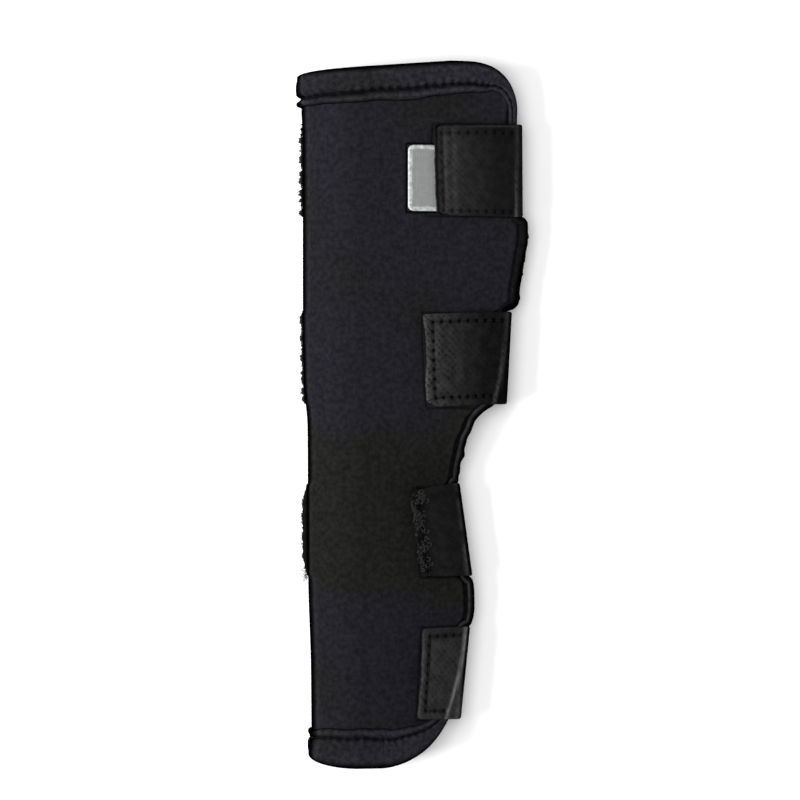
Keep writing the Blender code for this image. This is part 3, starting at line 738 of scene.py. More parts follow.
def build_cuff(name, node, end, groove, thick, tone_all, seed):
    """A padded cuff rolled over one end of the panel, with a stitched groove and a narrow ridge beside it."""
    x, y, at, size = cuff_shape(end, groove, thick)
    hole = needle_marks(at)
    roll = Roll(x, y)
    for d, h in CUFF_PROFILE:
        beside = bell(d - GROOVE_AT, 0.055)
        pucker = 1 - 0.30 * hole * bell(d - 0.60, 0.07) + 0.22 * (1 - hole) * bell(d - 0.58, 0.08)
        height = size["out"] * (h * pucker - 0.16 * hole * beside)
        height = height + 0.05 * MM * ripple(at * 1.7 + d * 9 * MM, seed) * (h > 0.5)
        # Painted shade in the groove, in its needle holes and on the step down to the panel; painted
        # highlights on the ridge and just inside the outline; painted shade and highlights on the puckers
        # beside the groove.
        tone = 1 - (0.60 + 0.35 * hole) * beside - 0.75 * bell(d - 1.01, 0.03)
        tone = tone + 0.38 * bell(d - 0.87, 0.05) + 0.22 * bell(d - 0.12, 0.07)
        tone = tone - 0.25 * hole * bell(d - 0.62, 0.04) + 0.22 * (1 - hole) * bell(d - 0.57, 0.06)
        past = max(0.0, d - GROOVE_AT) / (1 - GROOVE_AT)
        inward = size["groove"] * min(1.0, d / GROOVE_AT) + size["ridge"] * past
        roll.add(inward, size["gap"], inward, size["gap"] + height, tone)
    under = -NEOPRENE - size["gap"]
    top, bottom = size["gap"] + size["out"] * 0.84, under - size["in"]
    for angle in CUFF_ROLL:
        swing = math.radians(angle)
        height = (top + bottom) / 2 + (top - bottom) / 2 * math.sin(swing)
        outwards = size["edge"] * math.cos(swing)
        # Painted shade: the roll is painted dark over its outermost width, as an outline.
        outline = np.exp(-(((size["edge"] - outwards) / CUFF_OUTLINE) ** 6))
        beneath = np.clip(height, under, size["gap"])
        roll.add(-CUFF_GAP, beneath, -CUFF_GAP - outwards, height, 1 - 0.96 * outline)
    for d, h in CUFF_INSIDE:
        roll.add(d * size["inner"], under, d * size["inner"], under - size["in"] * h)
    inner, outer, inward, lift, tone = roll.faces()
    share = x / x.max()
    # Painted shade at the spine fold, painted light growing towards the free edge, and a darker patch a fifth
    # of the way round.
    tone_round = spine_painted_shade(x, y) * (0.87 + 0.53 * unit(share) - 0.20 * bell(share - 0.22, 0.16))
    tone = tone * tone_all * tone_round[:, None]
    steps = np.hypot(*(np.diff(part, axis=1, prepend=part[:, :1]) for part in (inward, lift)))
    cuff = slab(name, inner, outer, stacked(at[:, None], np.cumsum(steps, axis=1)), JERSEY_CUFF, tone)
    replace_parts(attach(cuff, "sleeve"), node)
    lines = []
    path = (size["groove"], *inward_of(x, y), x, y)
    for start in np.arange(STITCH / 2, at[-1] - STITCH, STITCH):
        spots = start + np.linspace(0.12, 0.88, 6) * STITCH
        groove_in, ix, iy, sx, sy = (np.interp(spots, at, values) for values in path)
        lift = np.interp(spots, at, size["gap"] + 0.16 * size["out"]) + 0.12 * MM * arched(6)
        lines.append(surface(sx + ix * groove_in, sy + iy * groove_in, lift))
    thread = threads(f"{name}_thread", lines, 0.22 * MM, THREAD)
    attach(thread, "sleeve")


def build_binding(name, node, side):
    """A stretch tape rolled over one free edge and stitched down along its inner line. `side` is 1 for the
    front, which alone has the lumps, the bulge and the stretch painted dark as shade towards the edge, and -1
    for the back."""
    low, high = float(end_y(NARROW_END, 1.0)) + BINDING_SHORT, float(end_y(WIDE_END, 1.0)) - BINDING_SHORT
    y = np.linspace(low, high, BINDING_STEPS)[::side]
    front = side > 0
    x = Section(y).front if front else -Section(y).back
    at = distances(x, y)
    hole = needle_marks(at)
    lumps = sum(size * MM * bell(y - at_y * MM, wide * MM) for at_y, size, wide in NOTCH_LUMPS) * front
    bulge = fade(y, 36, 3) * fade(y, 63, -3) * front
    lumps = lumps + 0.45 * MM * bulge * unit(ripple(y * 4.3, 3.0))
    lower = fade(y, 9, -6)
    edge_shade_stretch = fade(y, 56, -14) * fade(y, 30, 4) * front
    roll = Roll(x, y)
    # Painted shade in the groove beside the tape and in its needle holes, lessened at the bulge; a painted
    # highlight line on the lower stretch; a painted dark outline at the edge; and painted shade towards the
    # edge over the shaded stretch.
    for d, h in TAPE_OUTSIDE:
        near = bell(d - TAPE_WIDTH / MM, 0.4)
        swell = 1 + 0.16 * ripple(at * 2.3, 3.0 + side)
        dark = near * (0.5 + 0.5 * hole + 0.5 * lower * (1 - hole)) * (1 - 0.7 * swollen_at(y) * front)
        tone = 1 - (0.35 + 0.6 * lower) * dark + 2.5 * lower * bell(d - 1.45, 0.35) - 0.85 * bell(d, 0.8)
        tone = np.maximum(tone - 0.9 * edge_shade_stretch * bell(d, 1.7), LEAST_TONE) * (0.9 + 0.1 * lower)
        roll.add(d * MM, GAP, d * MM + 0.12 * MM * hole * near - lumps * max(0.0, 1 - d / 1.6),
                 GAP + BINDING_THICK * (h * swell - 0.25 * hole * near), tone)
    under = -NEOPRENE - GAP
    top, bottom = GAP + BINDING_THICK, under - BINDING_THICK
    # The turn round the edge is painted dark as shade.
    for angle in np.linspace(70, -70, 6):
        swing = math.radians(angle)
        height = (top + bottom) / 2 + (top - bottom) / 2 * math.sin(swing)
        lump = lumps * (1.0 if swing > 0 else math.cos(swing))
        outwards = BINDING_THICK * (0.55 + 0.5 * math.cos(swing)) + lump
        roll.add(-GAP, min(max(height, under), GAP), -GAP - outwards, height, 0.10)
    for d, h in TAPE_INSIDE:
        roll.add(d * MM, under, d * MM, under - BINDING_THICK * h)
    inner, outer, inward, lift, tone = roll.faces()
    tape = slab(name, inner, outer, stacked(at[:, None], lift - inward), TAPE, tone)
    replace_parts(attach(tape, "sleeve"), node)


# ---- Straps ----

WEDGE = 31.0 * MM  # width over which a strap's fold goes from its x at the low edge to that at the high one
# Each band's worn end at the spine: its least height, how much its tufts add, and the length over which it
# thins towards its sides, in millimetres
WORN_ENDS = ((0.50, 1.00, 0.8), (0.65, 0.75, 0.8), (2.00, 0.30, 7.0))
WORN_SIDES = 0.42  # height at the sides of a worn end, in millimetres


def strap_rows():
    """Shares across a strap from -1 to 1, close together at its rounded edges."""
    edge = np.array([0.0, 0.12, 0.3, 0.55, 0.85]) * MM
    middle = np.linspace(0, HALF_STRAP - 1.25 * MM, 33)
    side = np.concatenate([middle, (HALF_STRAP - edge)[::-1]])
    return np.concatenate([-side[:0:-1], side]) / HALF_STRAP


class Webbing:
    """A strap's rows and the parts of its inner and outer faces, from one end to the other."""

    def __init__(self, strap):
        self.centre, self.low_x, self.high_x = strap[:3]
        self.rows = strap_rows()
        self.y = (self.centre + self.rows * HALF_STRAP)[:, None]
        self.share = (self.y - self.centre) / WEDGE + 0.5
        self.section = Section(self.y)
        self.outer_x = self.low_x + (self.high_x - self.low_x) * self.share
        self.inner_x = self.outer_x - STRAP_THICK
        self.parts = []

    def from_side(self, shape):
        return np.broadcast_to(HALF_STRAP - np.abs(self.y - self.centre), shape)

    def add(self, inner, outer, is_round=False):
        """Adds a part, thinned at the strap's sides unless its faces are round there already."""
        if not is_round:
            fullness = rounding(self.from_side(self.y.shape), STRAP_ROUND)
            inner, outer = thinned(inner, outer, fullness[..., None])
        self.parts.append((inner, outer))

    def add_side(self, heights):
        """The upright part at the fold."""
        self.add(stacked(self.inner_x, self.y, heights), stacked(self.outer_x, self.y, heights))

    def add_turn(self, x, z, angles):
        """A part round a turn, for rows of centres and columns of angles."""
        self.add(*(stacked(x + reach * np.cos(angles), self.y, z + reach * np.sin(angles))
                   for reach in (TURN_RADIUS, TURN_RADIUS + STRAP_THICK)))

    def build(self, name, material, tone, sign):
        """The strap's piece and its mean length. `sign` is the way that its flat length counts."""
        inner, outer = (np.concatenate(faces, axis=1) for faces in zip(*self.parts))
        steps = np.linalg.norm(np.diff(outer, axis=1, prepend=outer[:, :1]), axis=-1)
        length = np.cumsum(steps, axis=1)
        piece = slab(name, inner, outer, stacked(sign * length, self.y), material, tone, facing_out=False)
        return piece, float(length[:, -1].mean())


def hole_field(along, y, holes, width):
    """1 at each needle hole, falling to 0 within about `width` of it."""
    field = np.zeros(along.shape)
    for hole_along, hole_y in holes:
        field = np.maximum(field, np.exp(-((np.hypot(along - hole_along, y - hole_y) / width) ** 4)))
    return field


def stitch_line(start, stop):
    """Needle holes along a straight line between two points of the flat cloth."""
    start, stop = np.array(start), np.array(stop)
    count = max(2, round(float(np.linalg.norm(stop - start)) / STITCH) + 1)
    return [tuple(start + (stop - start) * t) for t in np.linspace(0, 1, count)]


def thread_lines(lines, lift_at, moved=lambda along, y: (along, y)):
    """Centre lines of the thread between the holes of each line, `lift_at` above the sleeve, moved with the
    cloth."""
    found = []
    for line in lines:
        for (a, b), (c, d) in zip(line, line[1:]):
            t = np.linspace(0.14, 0.86, 6)
            along, y = moved(a + (c - a) * t, b + (d - b) * t)
            found.append(surface(along, y, lift_at(along) + 0.10 * MM * arched(6) - 0.08 * MM))
    return found


def seam_field(along, y, lines, width):
    """1 on the seams between the ends of the lines of holes, falling to 0 beside them."""
    field = np.zeros(along.shape)
    for (a0, y0), *_, (a1, y1) in lines:
        size = math.hypot(a1 - a0, y1 - y0)
        t = unit(((along - a0) * (a1 - a0) + (y - y0) * (y1 - y0)) / size**2)
        field = np.maximum(field, bell(np.hypot(along - a0 - t * (a1 - a0), y - y0 - t * (y1 - y0)), width))
    return field


def build_tab(number, strap):
    """The strap's moving end: up from the hinge line, round the fold's top and over the front."""
    centre, _, _, _, crease, tab_end, slip = strap
    look = TAB_LOOKS[number - 1]
    ragged, flaring, pressed_end = number == 3, number == 4, number == 1
    web = Webbing(strap)
    s, y, rows, share, outer_x = web.section, web.y, web.rows, web.share, web.outer_x
    end_x = curve_through(tab_end, rows * MM)[:, None]
    if ragged:
        end_x = end_x + 0.45 * MM * (ripple(y * 4.1, 1.0) + 0.7 * ripple(y * 9.7, 4.0))
    else:
        end_x = end_x + 0.10 * MM * ripple(y * 3.1, number)
    corner_radius = 1.6 * MM
    corner = unit((np.abs(rows) * HALF_STRAP - (HALF_STRAP - corner_radius)) / corner_radius)[:, None]
    end_x = end_x + corner_radius * (1 - np.sqrt(np.maximum(0, 1 - corner**2)))
    face = s.meet * np.sin(s.slope) + (FEET + EDGE_HEIGHT) * np.cos(s.slope) + TAB_INNER
    turn_x = web.inner_x - TURN_RADIUS
    turn_z = (face - TURN_RADIUS - turn_x * np.sin(s.slope)) / np.cos(s.slope)
    web.add_side(PIVOT_HEIGHT + PIVOT_PLAY + (turn_z - PIVOT_HEIGHT) * np.linspace(0, 1, 9)[None, :-1])
    web.add_turn(turn_x, turn_z, (math.pi / 2 - s.slope) * np.linspace(0, 1, 19)[None, :])
    start = s.along_front(turn_x - 0.25 * MM, TAB_OUTER)
    end = s.along_front(end_x, TAB_OUTER)
    along = start + (end - start) * np.linspace(0, 1, 72)[None, :]
    from_end = along - end
    from_side = web.from_side(along.shape)
    crease_in = (crease[1] + (crease[0] - crease[1]) * unit(1 - share) ** look["curve"]) * MM
    crease_along = s.along_front(outer_x - crease_in, TAB_OUTER)
    past_crease = along - crease_along

    inset = look["inset"] * MM
    corners = []
    for k, in_from_side in ((-1, 1.7 * MM if pressed_end else 2.9 * MM), (1, 2.9 * MM)):
        row = centre + k * (HALF_STRAP - in_from_side)
        near_fold, near_end = (np.interp(row, y[:, 0], edge[:, 0]) for edge in (crease_along, end))
        corners.append(((near_fold - 1.6 * MM, row), (near_end + inset, row)))
    path = (corners[0][0], corners[0][1], corners[1][1], corners[1][0])
    lines = [stitch_line(one, other) for one, other in zip(path, path[1:])]
    holes = lines[0] + lines[1][1:] + lines[2][1:]
    depth = hole_field(along, y, holes, 0.72 * MM) * (0.35 if ragged else 1.0)
    seam = seam_field(along, y, lines, 0.75 * MM)

    lift = TAB_OUTER - (0.28 * seam + 0.42 * depth) * MM
    lift = lift + 0.10 * MM * ripple(y * 0.9 + along * 0.6, number * 1.3)
    lift = lift + 0.22 * MM * hump(past_crease, 0, 0.55) - 0.75 * MM * unit(past_crease / (3.0 * MM))
    floor = np.full(along.shape, TAB_INNER)
    if ragged:
        curl = hump(from_end, 0, 4.0) * np.clip((y - centre) / HALF_STRAP * 0.8 + 0.35, 0.15, 1)
        lift, floor = lift + 1.5 * MM * curl, floor + 1.3 * MM * curl
        lift = lift + 0.18 * MM * ripple(y * 5.3 + along * 2.0, 7.0) * hump(from_end, 0, 6)
    first, last = float(start.mean()), float(end.mean())

    def slipped(at_along, at_y):
        share_out = unit((first - at_along) / (first - last))
        side = (at_y - centre) / STRAP_WIDTH + 0.5
        return at_along, at_y + share_out**1.5 * (slip[0] * (1 - side) + slip[1] * side) * MM

    _, front_y = slipped(along, np.broadcast_to(y, along.shape))
    fullness = np.minimum(rounding(from_end, STRAP_ROUND), rounding(from_side, STRAP_ROUND))
    heights = thinned(floor, lift, fullness)
    web.add(*(surface(along, front_y, height) for height in heights), is_round=True)

    # Painted shade that grows from the tab's end towards its fold, in its needle holes and on its seams, and
    # along its hem.
    reach = unit((along - end) / (start - end) / 0.8)
    tone = look["end"] + (look["fold"] - look["end"]) * reach ** look["early"]
    tone = tone * (1 - look["holes"] * depth) * (1 - look["seam"] * seam)
    tone = tone * (1 - (1 - look["hem"]) * hump(from_end, 0, 2.0))
    # Painted highlights across the first tab's end, where ridges would catch the light.
    if pressed_end:
        ridges = 0.35 * hump(from_end, 3.7, 0.8) + 0.45 * hump(from_end, 6.8, 0.8)
        tone = tone * (1 + ridges)
    # Painted light and shade in blotches along the frayed end, and painted shade beneath its loops.
    if ragged:
        wisps = ripple(y * 6.3 + along * 9.0, 2.0) * ripple(along * 11.0 - y * 4.0, 5.0)
        tone = tone * (1 + 2.2 * wisps * hump(from_end, 0, 3.2))
        tone = tone * (1 - 0.60 * hump(from_end, 1.8, 2.9))
    # Painted shade along the high edge; a painted highlight on the rim at the end and along the sides near
    # it, which is painted shade where the rim's value is below 0.
    tone = tone * (1 - look["high_edge"] * unit(((y - centre) / HALF_STRAP - 0.6) / 0.4))
    tone = tone + look["rim"] * hump(from_end, 0.45, 0.45)
    tone = tone + look["rim"] * 0.6 * hump(from_side, 0.35, 0.35) * (1 - reach)
    # A painted highlight along the first tab's high edge.
    if pressed_end:
        tone = tone + 0.8 * reach * hump(from_side, 0.7, 0.35) * (y > centre)
    # A painted highlight on the crease, and painted shade past it, painted lighter on the fourth tab's low
    # side.
    along_crease = 0.75 + 0.40 * share if flaring else np.clip(1.15 - share, 0.45, 1)
    if ragged:
        along_crease = along_crease * (1 + 0.8 * ripple(y * 2.3, 3.0))
    low_side_light = unit((0.45 - share) / 0.35) * flaring
    tone = tone + look["crease"] * along_crease * bell(past_crease + 0.1 * MM, look["width"] * MM)
    tone = tone * (1 - (look["past"] - 0.5 * low_side_light) * fade(past_crease, 0.5, 0.9))
    side_part, turn_part = web.parts[0][1], web.parts[1][1]
    in_turn = outer_x - turn_part[..., 0]
    to_crease = in_turn - crease_in
    # The turn: painted shade past the crease, the crease's painted highlight, and a painted dark outline at
    # the silhouette; the upright side is painted dark as shade.
    turn_tone = look["fold"] * (1 - look["past"] + 0.6 * look["past"] * unit((to_crease + 0.3 * MM) / MM))
    turn_tone = turn_tone + look["crease"] * along_crease * bell(to_crease, 0.9 * look["width"] * MM)
    from_outline = in_turn / (0.8 * MM)
    if flaring:
        from_outline = (from_outline / 1.6) ** 3
    turn_tone = turn_tone * np.clip(from_outline + 0.5 * low_side_light, look["outline"], 1) * (1 + 0.9 * low_side_light)
    side_tone = np.full(side_part.shape[:2], look["fold"] * look["outline"])
    tone = np.maximum(np.concatenate([side_tone, turn_tone, tone], axis=1), LEAST_TONE)
    tab, length = web.build(f"strap_{number}_front", TWILL if number == 2 else WORN_TWILL, tone, -1)
    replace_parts(tab, f"strap_{number}_tab")
    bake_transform(tab)
    stitches = thread_lines(lines, lambda at: TAB_OUTER - 0.22 * MM, slipped)
    thread = threads(f"strap_{number}_front_thread", stitches, 0.15 * MM, STRAP_THREAD)
    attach(thread, f"strap_{number}")


def tuft_height(number, y):
    """How far a band's worn end stands off the spine at y."""
    if number > len(WORN_ENDS):
        return 0.0
    least, more, thinning = WORN_ENDS[number - 1]
    wave = unit(0.5 + 0.9 * ripple(y * 4.9, number * 2.3) + 0.5 * ripple(y * 10.7, number))
    inside = unit((HALF_STRAP - np.abs(y - STRAPS[number - 1][0])) / (thinning * MM))
    return (WORN_SIDES + (least - WORN_SIDES + more * eased(wave)) * inside**0.8) * MM


def build_band(number, strap):
    """The strap's sewn part: from past the spine, across the back and half way up the fold."""
    past = strap[3]
    web = Webbing(strap)
    s, y, centre = web.section, web.y, web.centre
    first = past + 0.25 * MM * ripple(y * 6.1, number * 2.1) * (past > 0)
    step = s.along_back(s.right - BAND_STEP)
    flat_start = -s.back_arc if past > 0 else first + np.zeros_like(step)
    spans = [flat_start + (step - flat_start) * np.linspace(0, 1, 84)[None, :],
             step + np.array([-1.0, -2.0, -4.0, -6.0])[None, :] * MM]
    if past > 0:
        spans.insert(0, first + (-s.back_arc - first) * np.linspace(0, 1, 34)[None, :-1])
    along = np.concatenate(spans, axis=1)
    inner_lift = np.where(along < step - 0.5 * MM, OVER_BINDING, GAP)
    round_back = float(s.back_arc.mean())

    def face_lift(at_along):
        return FEET + (1.15 * MM - FEET) * unit(1 + at_along / round_back) * (past > 0)

    worn = hump(along, 0, 5.5) * (past > 0)
    outer_lift = face_lift(along) * (1 - worn) + worn * tuft_height(number, y)
    outer_lift = np.maximum(outer_lift, inner_lift + 0.12 * MM)
    low, high = centre - HALF_STRAP + 2.6 * MM, centre + HALF_STRAP - 2.6 * MM
    near, far = float(first.mean()) - (4.0 * MM if past > 0 else 3.0 * MM), float(step.mean()) + 2 * MM
    ends = (((near, low), (near, high)), ((near, low), (far, low)), ((near, high), (far, high)),
            ((far, low), (far, high)))
    lines = [stitch_line(one, other) for one, other in ends]
    depth = hole_field(along, y, [hole for line in lines for hole in line], 0.6 * MM)
    seam = np.maximum.reduce(np.broadcast_arrays(
        *(hump(distance, 0, 0.8) for distance in (y - low, y - high, along - near, along - far))))
    seam = seam * (along < near + 1 * MM) * (along > far - 1 * MM)
    outer_lift = outer_lift - (0.30 * seam + 0.40 * depth) * MM
    from_side = rounding(web.from_side(along.shape), STRAP_ROUND)
    heights = thinned(inner_lift, outer_lift, np.minimum(rounding(along[:, :1] - along, 0.5 * MM), from_side))
    web.add(*(surface(along, y, height) for height in heights), is_round=True)
    turn_z = FEET - OVER_BINDING + TURN_RADIUS
    web.add_turn(web.inner_x - TURN_RADIUS, turn_z, np.linspace(-math.pi / 2, 0, 9)[None, :])
    web.add_side(turn_z + (PIVOT_HEIGHT + PIVOT_PLAY - turn_z) * np.linspace(0.15, 1, 6)[None, :])
    # Painted shade in the needle holes and on the seams; the third band is darker at the spine, and the turn
    # and upright side are darker.
    tone = (1 - 0.7 * depth - 0.2 * seam) * (1 - 0.8 * (number == 3) * hump(along, 0, 4))
    rest = sum(part[0].shape[1] for part in web.parts[1:])
    tone = np.concatenate([tone, np.full((len(tone), rest), 0.62)], axis=1)
    band, length = web.build(f"strap_{number}_back", TWILL, tone, 1)
    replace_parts(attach(band, "sleeve"), f"strap_{number}_band")
    stitches = thread_lines(lines, lambda at: face_lift(at) - 0.25 * MM)
    thread = threads(f"strap_{number}_back_thread", stitches, 0.20 * MM, STRAP_THREAD)
    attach(thread, "sleeve")


def hairs(name, roots, normals, outward, length, body, seed, radius=0.055 * MM):
    """Loose fibres from a cut edge: each leaves its root, bends over and curls."""
    rng = np.random.default_rng(seed)
    count = len(roots)
    size = length * (0.35 + 0.9 * rng.random((count, 1, 1)))
    t = np.linspace(0, 1, 6)[None, :, None]
    lean = towards(outward + rng.normal(0, 0.55, (count, 3)) * np.array([0.5, 1.0, 0.5]))
    curl = rng.normal(0, 0.5, (count, 3)) - normals * 0.2
    lines = roots[:, None, :] + size * (lean[:, None, :] * t + curl[:, None, :] * t**2 * 0.6)
    piece = threads(name, lines, radius, FIBRE, sides=4)
    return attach(piece, body)


# Fibres of each tab's end: how many, their length and how far in from the end they start, in millimetres
TAB_FUZZ = ((60, 0.7, 0.5), (110, 0.8, 0.5), (200, 1.6, 2.4), (90, 0.7, 0.5))
BAND_FUZZ = (420, 300, 300)  # fibres at the worn ends of the first three bands
WISPS = 46  # longer fibres at the third band's low corner
LOOPS, LOOPS_AT_HIGH_EDGE, LARGE_LOOPS, STRAY_LOOPS = 78, 12, 4, 8


def fuzz_bands(rng):
    """Tufts where the bands' cut ends show at the spine, and wisps at the third's low corner."""
    for number, (strap, count) in enumerate(zip(STRAPS, BAND_FUZZ), 1):
        y = strap[0] + (rng.random(count) - 0.5) * STRAP_WIDTH
        along = strap[3] - rng.random(count) * 9.0 * MM
        lift = tuft_height(number, y) - 0.1 * MM
        roots = surface(along, y, lift)
        normals = towards(surface(along, y, lift + 1 * MM) - roots)
        tufts = 0.5 + 0.5 * np.sin(2 * math.pi * y / (1.25 * MM) + 3 * np.sin(y / (4 * MM))) > 0.25
        hairs(f"strap_{number}_back_fuzz", roots[tufts], normals[tufts], normals[tufts], 0.60 * MM, "sleeve",
              20 + number, 0.11 * MM)
    y = STRAPS[2][0] - HALF_STRAP + rng.random(WISPS) * 4.5 * MM - 1.0 * MM
    along = -rng.random(WISPS) * 5.0 * MM
    roots = surface(along, y, 0.7 * MM)
    outward = towards(surface(along, y - 0.5 * MM, 1.7 * MM) - roots)
    hairs("strap_3_back_wisps", roots, outward * 0.1, outward, 2.2 * MM, "sleeve", 31, 0.06 * MM)


def fuzz_tabs(rng):
    """Short fibres along the tabs' ends."""
    for number, (strap, (count, size, spread)) in enumerate(zip(STRAPS, TAB_FUZZ), 1):
        centre = strap[0]
        y = centre + (rng.random(count) - 0.5) * (STRAP_WIDTH - 1 * MM)
        end_x = curve_through(strap[5], (y - centre) / HALF_STRAP * MM)
        lift = TAB_OUTER - 0.6 * MM + (1.2 * MM * (number == 3)) * rng.random(count)
        along = Section(y).along_front(end_x, TAB_OUTER) + rng.random(count) * spread * MM
        roots = surface(along, y, lift)
        outward = towards(surface(along - 1 * MM, y, lift) - roots)
        hairs(f"strap_{number}_front_fuzz", roots, outward * 0.1, outward, size * MM, f"strap_{number}",
              40 + number)


def fray_third_tab(rng):
    """Loops of loose yarn along the third tab's end, a few of them further in or larger."""
    centre, _, _, _, _, tab_end, slip = STRAPS[2]
    at_edge = rng.random(LOOPS - LOOPS_AT_HIGH_EDGE) * 2 - 1
    share = np.concatenate([at_edge, rng.random(LOOPS_AT_HIGH_EDGE) * 0.26 + 0.74])
    y = centre + share * (HALF_STRAP - 1.0 * MM) + unit(share) * slip[1] * MM
    end = Section(y).along_front(curve_through(tab_end, share * MM), TAB_OUTER)
    along = end + rng.random(LOOPS) ** 1.2 * 4.4 * MM
    radius = (0.22 + 0.50 * rng.random(LOOPS)) * MM
    radius[-LARGE_LOOPS:] += 0.50 * MM
    along[-LOOPS_AT_HIGH_EDGE:-LARGE_LOOPS] += rng.random(STRAY_LOOPS) * 4.0 * MM
    turned = rng.random(LOOPS) * 2 * math.pi
    sweep = np.linspace(0, 1, 12)[None, :] * (math.pi * 1.6) + turned[:, None]
    loop_along = along[:, None] + radius[:, None] * np.cos(sweep)
    loop_y = y[:, None] + radius[:, None] * np.sin(sweep)
    edge_lift = TAB_OUTER + 1.1 * MM * np.clip(share * 0.8 + 0.35, 0.15, 1)
    rise = np.sin(np.linspace(0.1, 1, 12) * math.pi)[None, :] * 0.5 * MM
    lines = surface(loop_along, loop_y, edge_lift[:, None] + rise)
    loops = threads("strap_3_front_loops", lines, 0.31 * MM, LOOSE, sides=5)
    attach(loops, "strap_3")


HOOK_PITCH = 1.3 * MM
HOOKS_FROM_END = 3.2 * MM  # of the tab
HOOKS_FROM_EDGE = 6.4 * MM  # of the sleeve
TAPE_TOP = 1.1 * MM  # height of the hook tape above the sleeve
TAPE_MIDDLE, TAPE_HALF = 0.94 * MM, 0.16 * MM  # height of its backing's middle, and half its thickness
HOOK_HEIGHTS = np.array([0.84, 0.66, 0.50, 0.44]) * MM


def build_hooks():
    """Hook tape under each tab: a backing strip with rows of small mushroom hooks facing the sleeve."""
    for number, strap in enumerate(STRAPS, 1):
        node = f"hook_patch_{number}"
        low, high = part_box(node)
        centre, tab_end = strap[0], strap[5]
        half = (high[1] - low[1]) / 2 - 0.2 * MM
        rows = np.linspace(-1, 1, 21)
        y = (centre + rows * half)[:, None]
        s = Section(y)
        end = s.along_front(curve_through(tab_end, rows * MM)[:, None] + HOOKS_FROM_END, TAPE_TOP)
        start = s.front - HOOKS_FROM_EDGE
        along = end + (start - end) * np.linspace(0, 1, 17)[None, :]
        edge = np.minimum(np.minimum(along - end, start - along), half - np.abs(y - centre))
        reach = TAPE_HALF * rounding(edge, 0.5 * MM)
        plate = laid(f"{node}_tape", along, y, (TAPE_MIDDLE - reach, TAPE_MIDDLE + reach), HOOK)
        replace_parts(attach(plate, f"strap_{number}"), node)
        lines = []
        for k, row in enumerate(np.arange(centre - half + 0.8 * MM, centre + half - 0.5 * MM, HOOK_PITCH)):
            one = Section(row)
            end_x = float(curve_through(tab_end, (row - centre) / HALF_STRAP * MM)) + HOOKS_FROM_END
            first = float(one.along_front(end_x, TAPE_TOP)) + (0.8 + 0.65 * (k % 2)) * MM
            for place in np.arange(first, float(one.front) - HOOKS_FROM_EDGE - 0.4 * MM, HOOK_PITCH):
                lines.append(surface(place, row, HOOK_HEIGHTS))
        stems = threads(f"{node}_hooks", lines, 0.24 * MM, HOOK, sides=5)
        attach(stems, f"strap_{number}")


def build_label():
    """A blank reflective patch with rounded corners and a pressed rim, partly under the first tab."""
    low_y, high_y, left_x = LABEL_BOX
    radius, right_x, bottom = 1.8 * MM, 9.6 * MM, 0.25 * MM
    y = np.linspace(low_y, high_y, 60)[:, None]
    s = Section(y)
    into = np.maximum(0, np.maximum(low_y + radius - y, y - high_y + radius))
    corner = radius - np.sqrt(np.maximum(0, radius**2 - into**2))
    left = s.along_front(left_x + corner, 0.8 * MM)
    along = left + (s.along_front(right_x) - left) * np.linspace(0, 1, 40)[None, :] ** 1.15
    edge = np.minimum(along - left, np.minimum(y - low_y, high_y - y))
    rim = bell(edge - 0.55 * MM, (0.82 + 0.12 * ripple(along * 3 + y * 2.6, 2.0)) * MM)
    top = GAP + 0.42 * MM + 0.10 * MM * rim
    heights = thinned(bottom, top, rounding(edge, 0.35 * MM))
    patch = laid("reflective_patch", along, y, heights, FILM, 1 - unit(rim * 1.3))
    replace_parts(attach(patch, "sleeve"), "reflective_label")


STAY_FROM_EDGE = 13 * MM
POCKET_LENGTH = 0.204
# The pockets' half width, their seams' distance from the middle, the flat hem beside each edge, and the width
# over which the cloth then rises over the stay, all in millimetres
POCKET_HALF, POCKET_SEAM, POCKET_HEM, POCKET_RISE = 9.0, 7.9, 2.2, 2.2


def build_pocket(name, node, side):
    """A strip of lining sewn down both long edges over a stay, on the front for side 1, the back for -1."""

    def middle_at(y):
        return Section(y).along_front(-STAY_FROM_EDGE) if side > 0 else Section(y).along_back(-STAY_FROM_EDGE)

    end = POCKET_LENGTH / 2
    y = np.linspace(-end, end, 150)[:, None]
    across = np.concatenate([np.linspace(-POCKET_HALF, -4.6, 14), np.linspace(-4.2, 4.2, 9),
                             np.linspace(4.6, POCKET_HALF, 14)])
    from_side = POCKET_HALF - np.abs(across)
    rise = eased(unit((from_side - POCKET_HEM) / POCKET_RISE))[None, :]
    rise = rise * unit((end - np.abs(y)) / (6 * MM)) ** 0.5
    edge, deep = -(NEOPRENE + 0.5 * MM), -6.0 * MM
    seam = bell(np.abs(across)[None, :] - POCKET_SEAM, 0.35)
    hole = needle_marks(y)
    thick = (0.6 * MM - 0.25 * MM * seam * (0.5 + 0.5 * hole)) * rounding(from_side[None, :] * MM, 0.3 * MM)
    along = middle_at(y) + across[None, :] * MM
    low, high = float(end_y(NARROW_END, 1.0)), float(end_y(WIDE_END, 1.0))
    share = along / (Section(y).front if side > 0 else Section(y).back)
    face = edge + (deep - edge) * rise + billow(share, (y - low) / (high - low)) * (1 - rise)
    # Painted shade in the seams' needle holes.
    pocket = laid(name, along, y, (face, face - thick), LINING, 1 - 0.4 * seam * hole)
    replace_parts(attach(pocket, "sleeve"), node)
    lines = []
    for k in (-POCKET_SEAM, POCKET_SEAM):
        for start in np.arange(-100 * MM, 98 * MM, STITCH):
            spot = start + np.linspace(0.14, 0.86, 5) * STITCH
            lines.append(surface(middle_at(spot) + k * MM, spot, edge - 0.45 * MM - 0.12 * MM * arched(5)))
    thread = threads(f"{name}_thread", lines, 0.18 * MM, THREAD, sides=5)
    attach(thread, "sleeve")


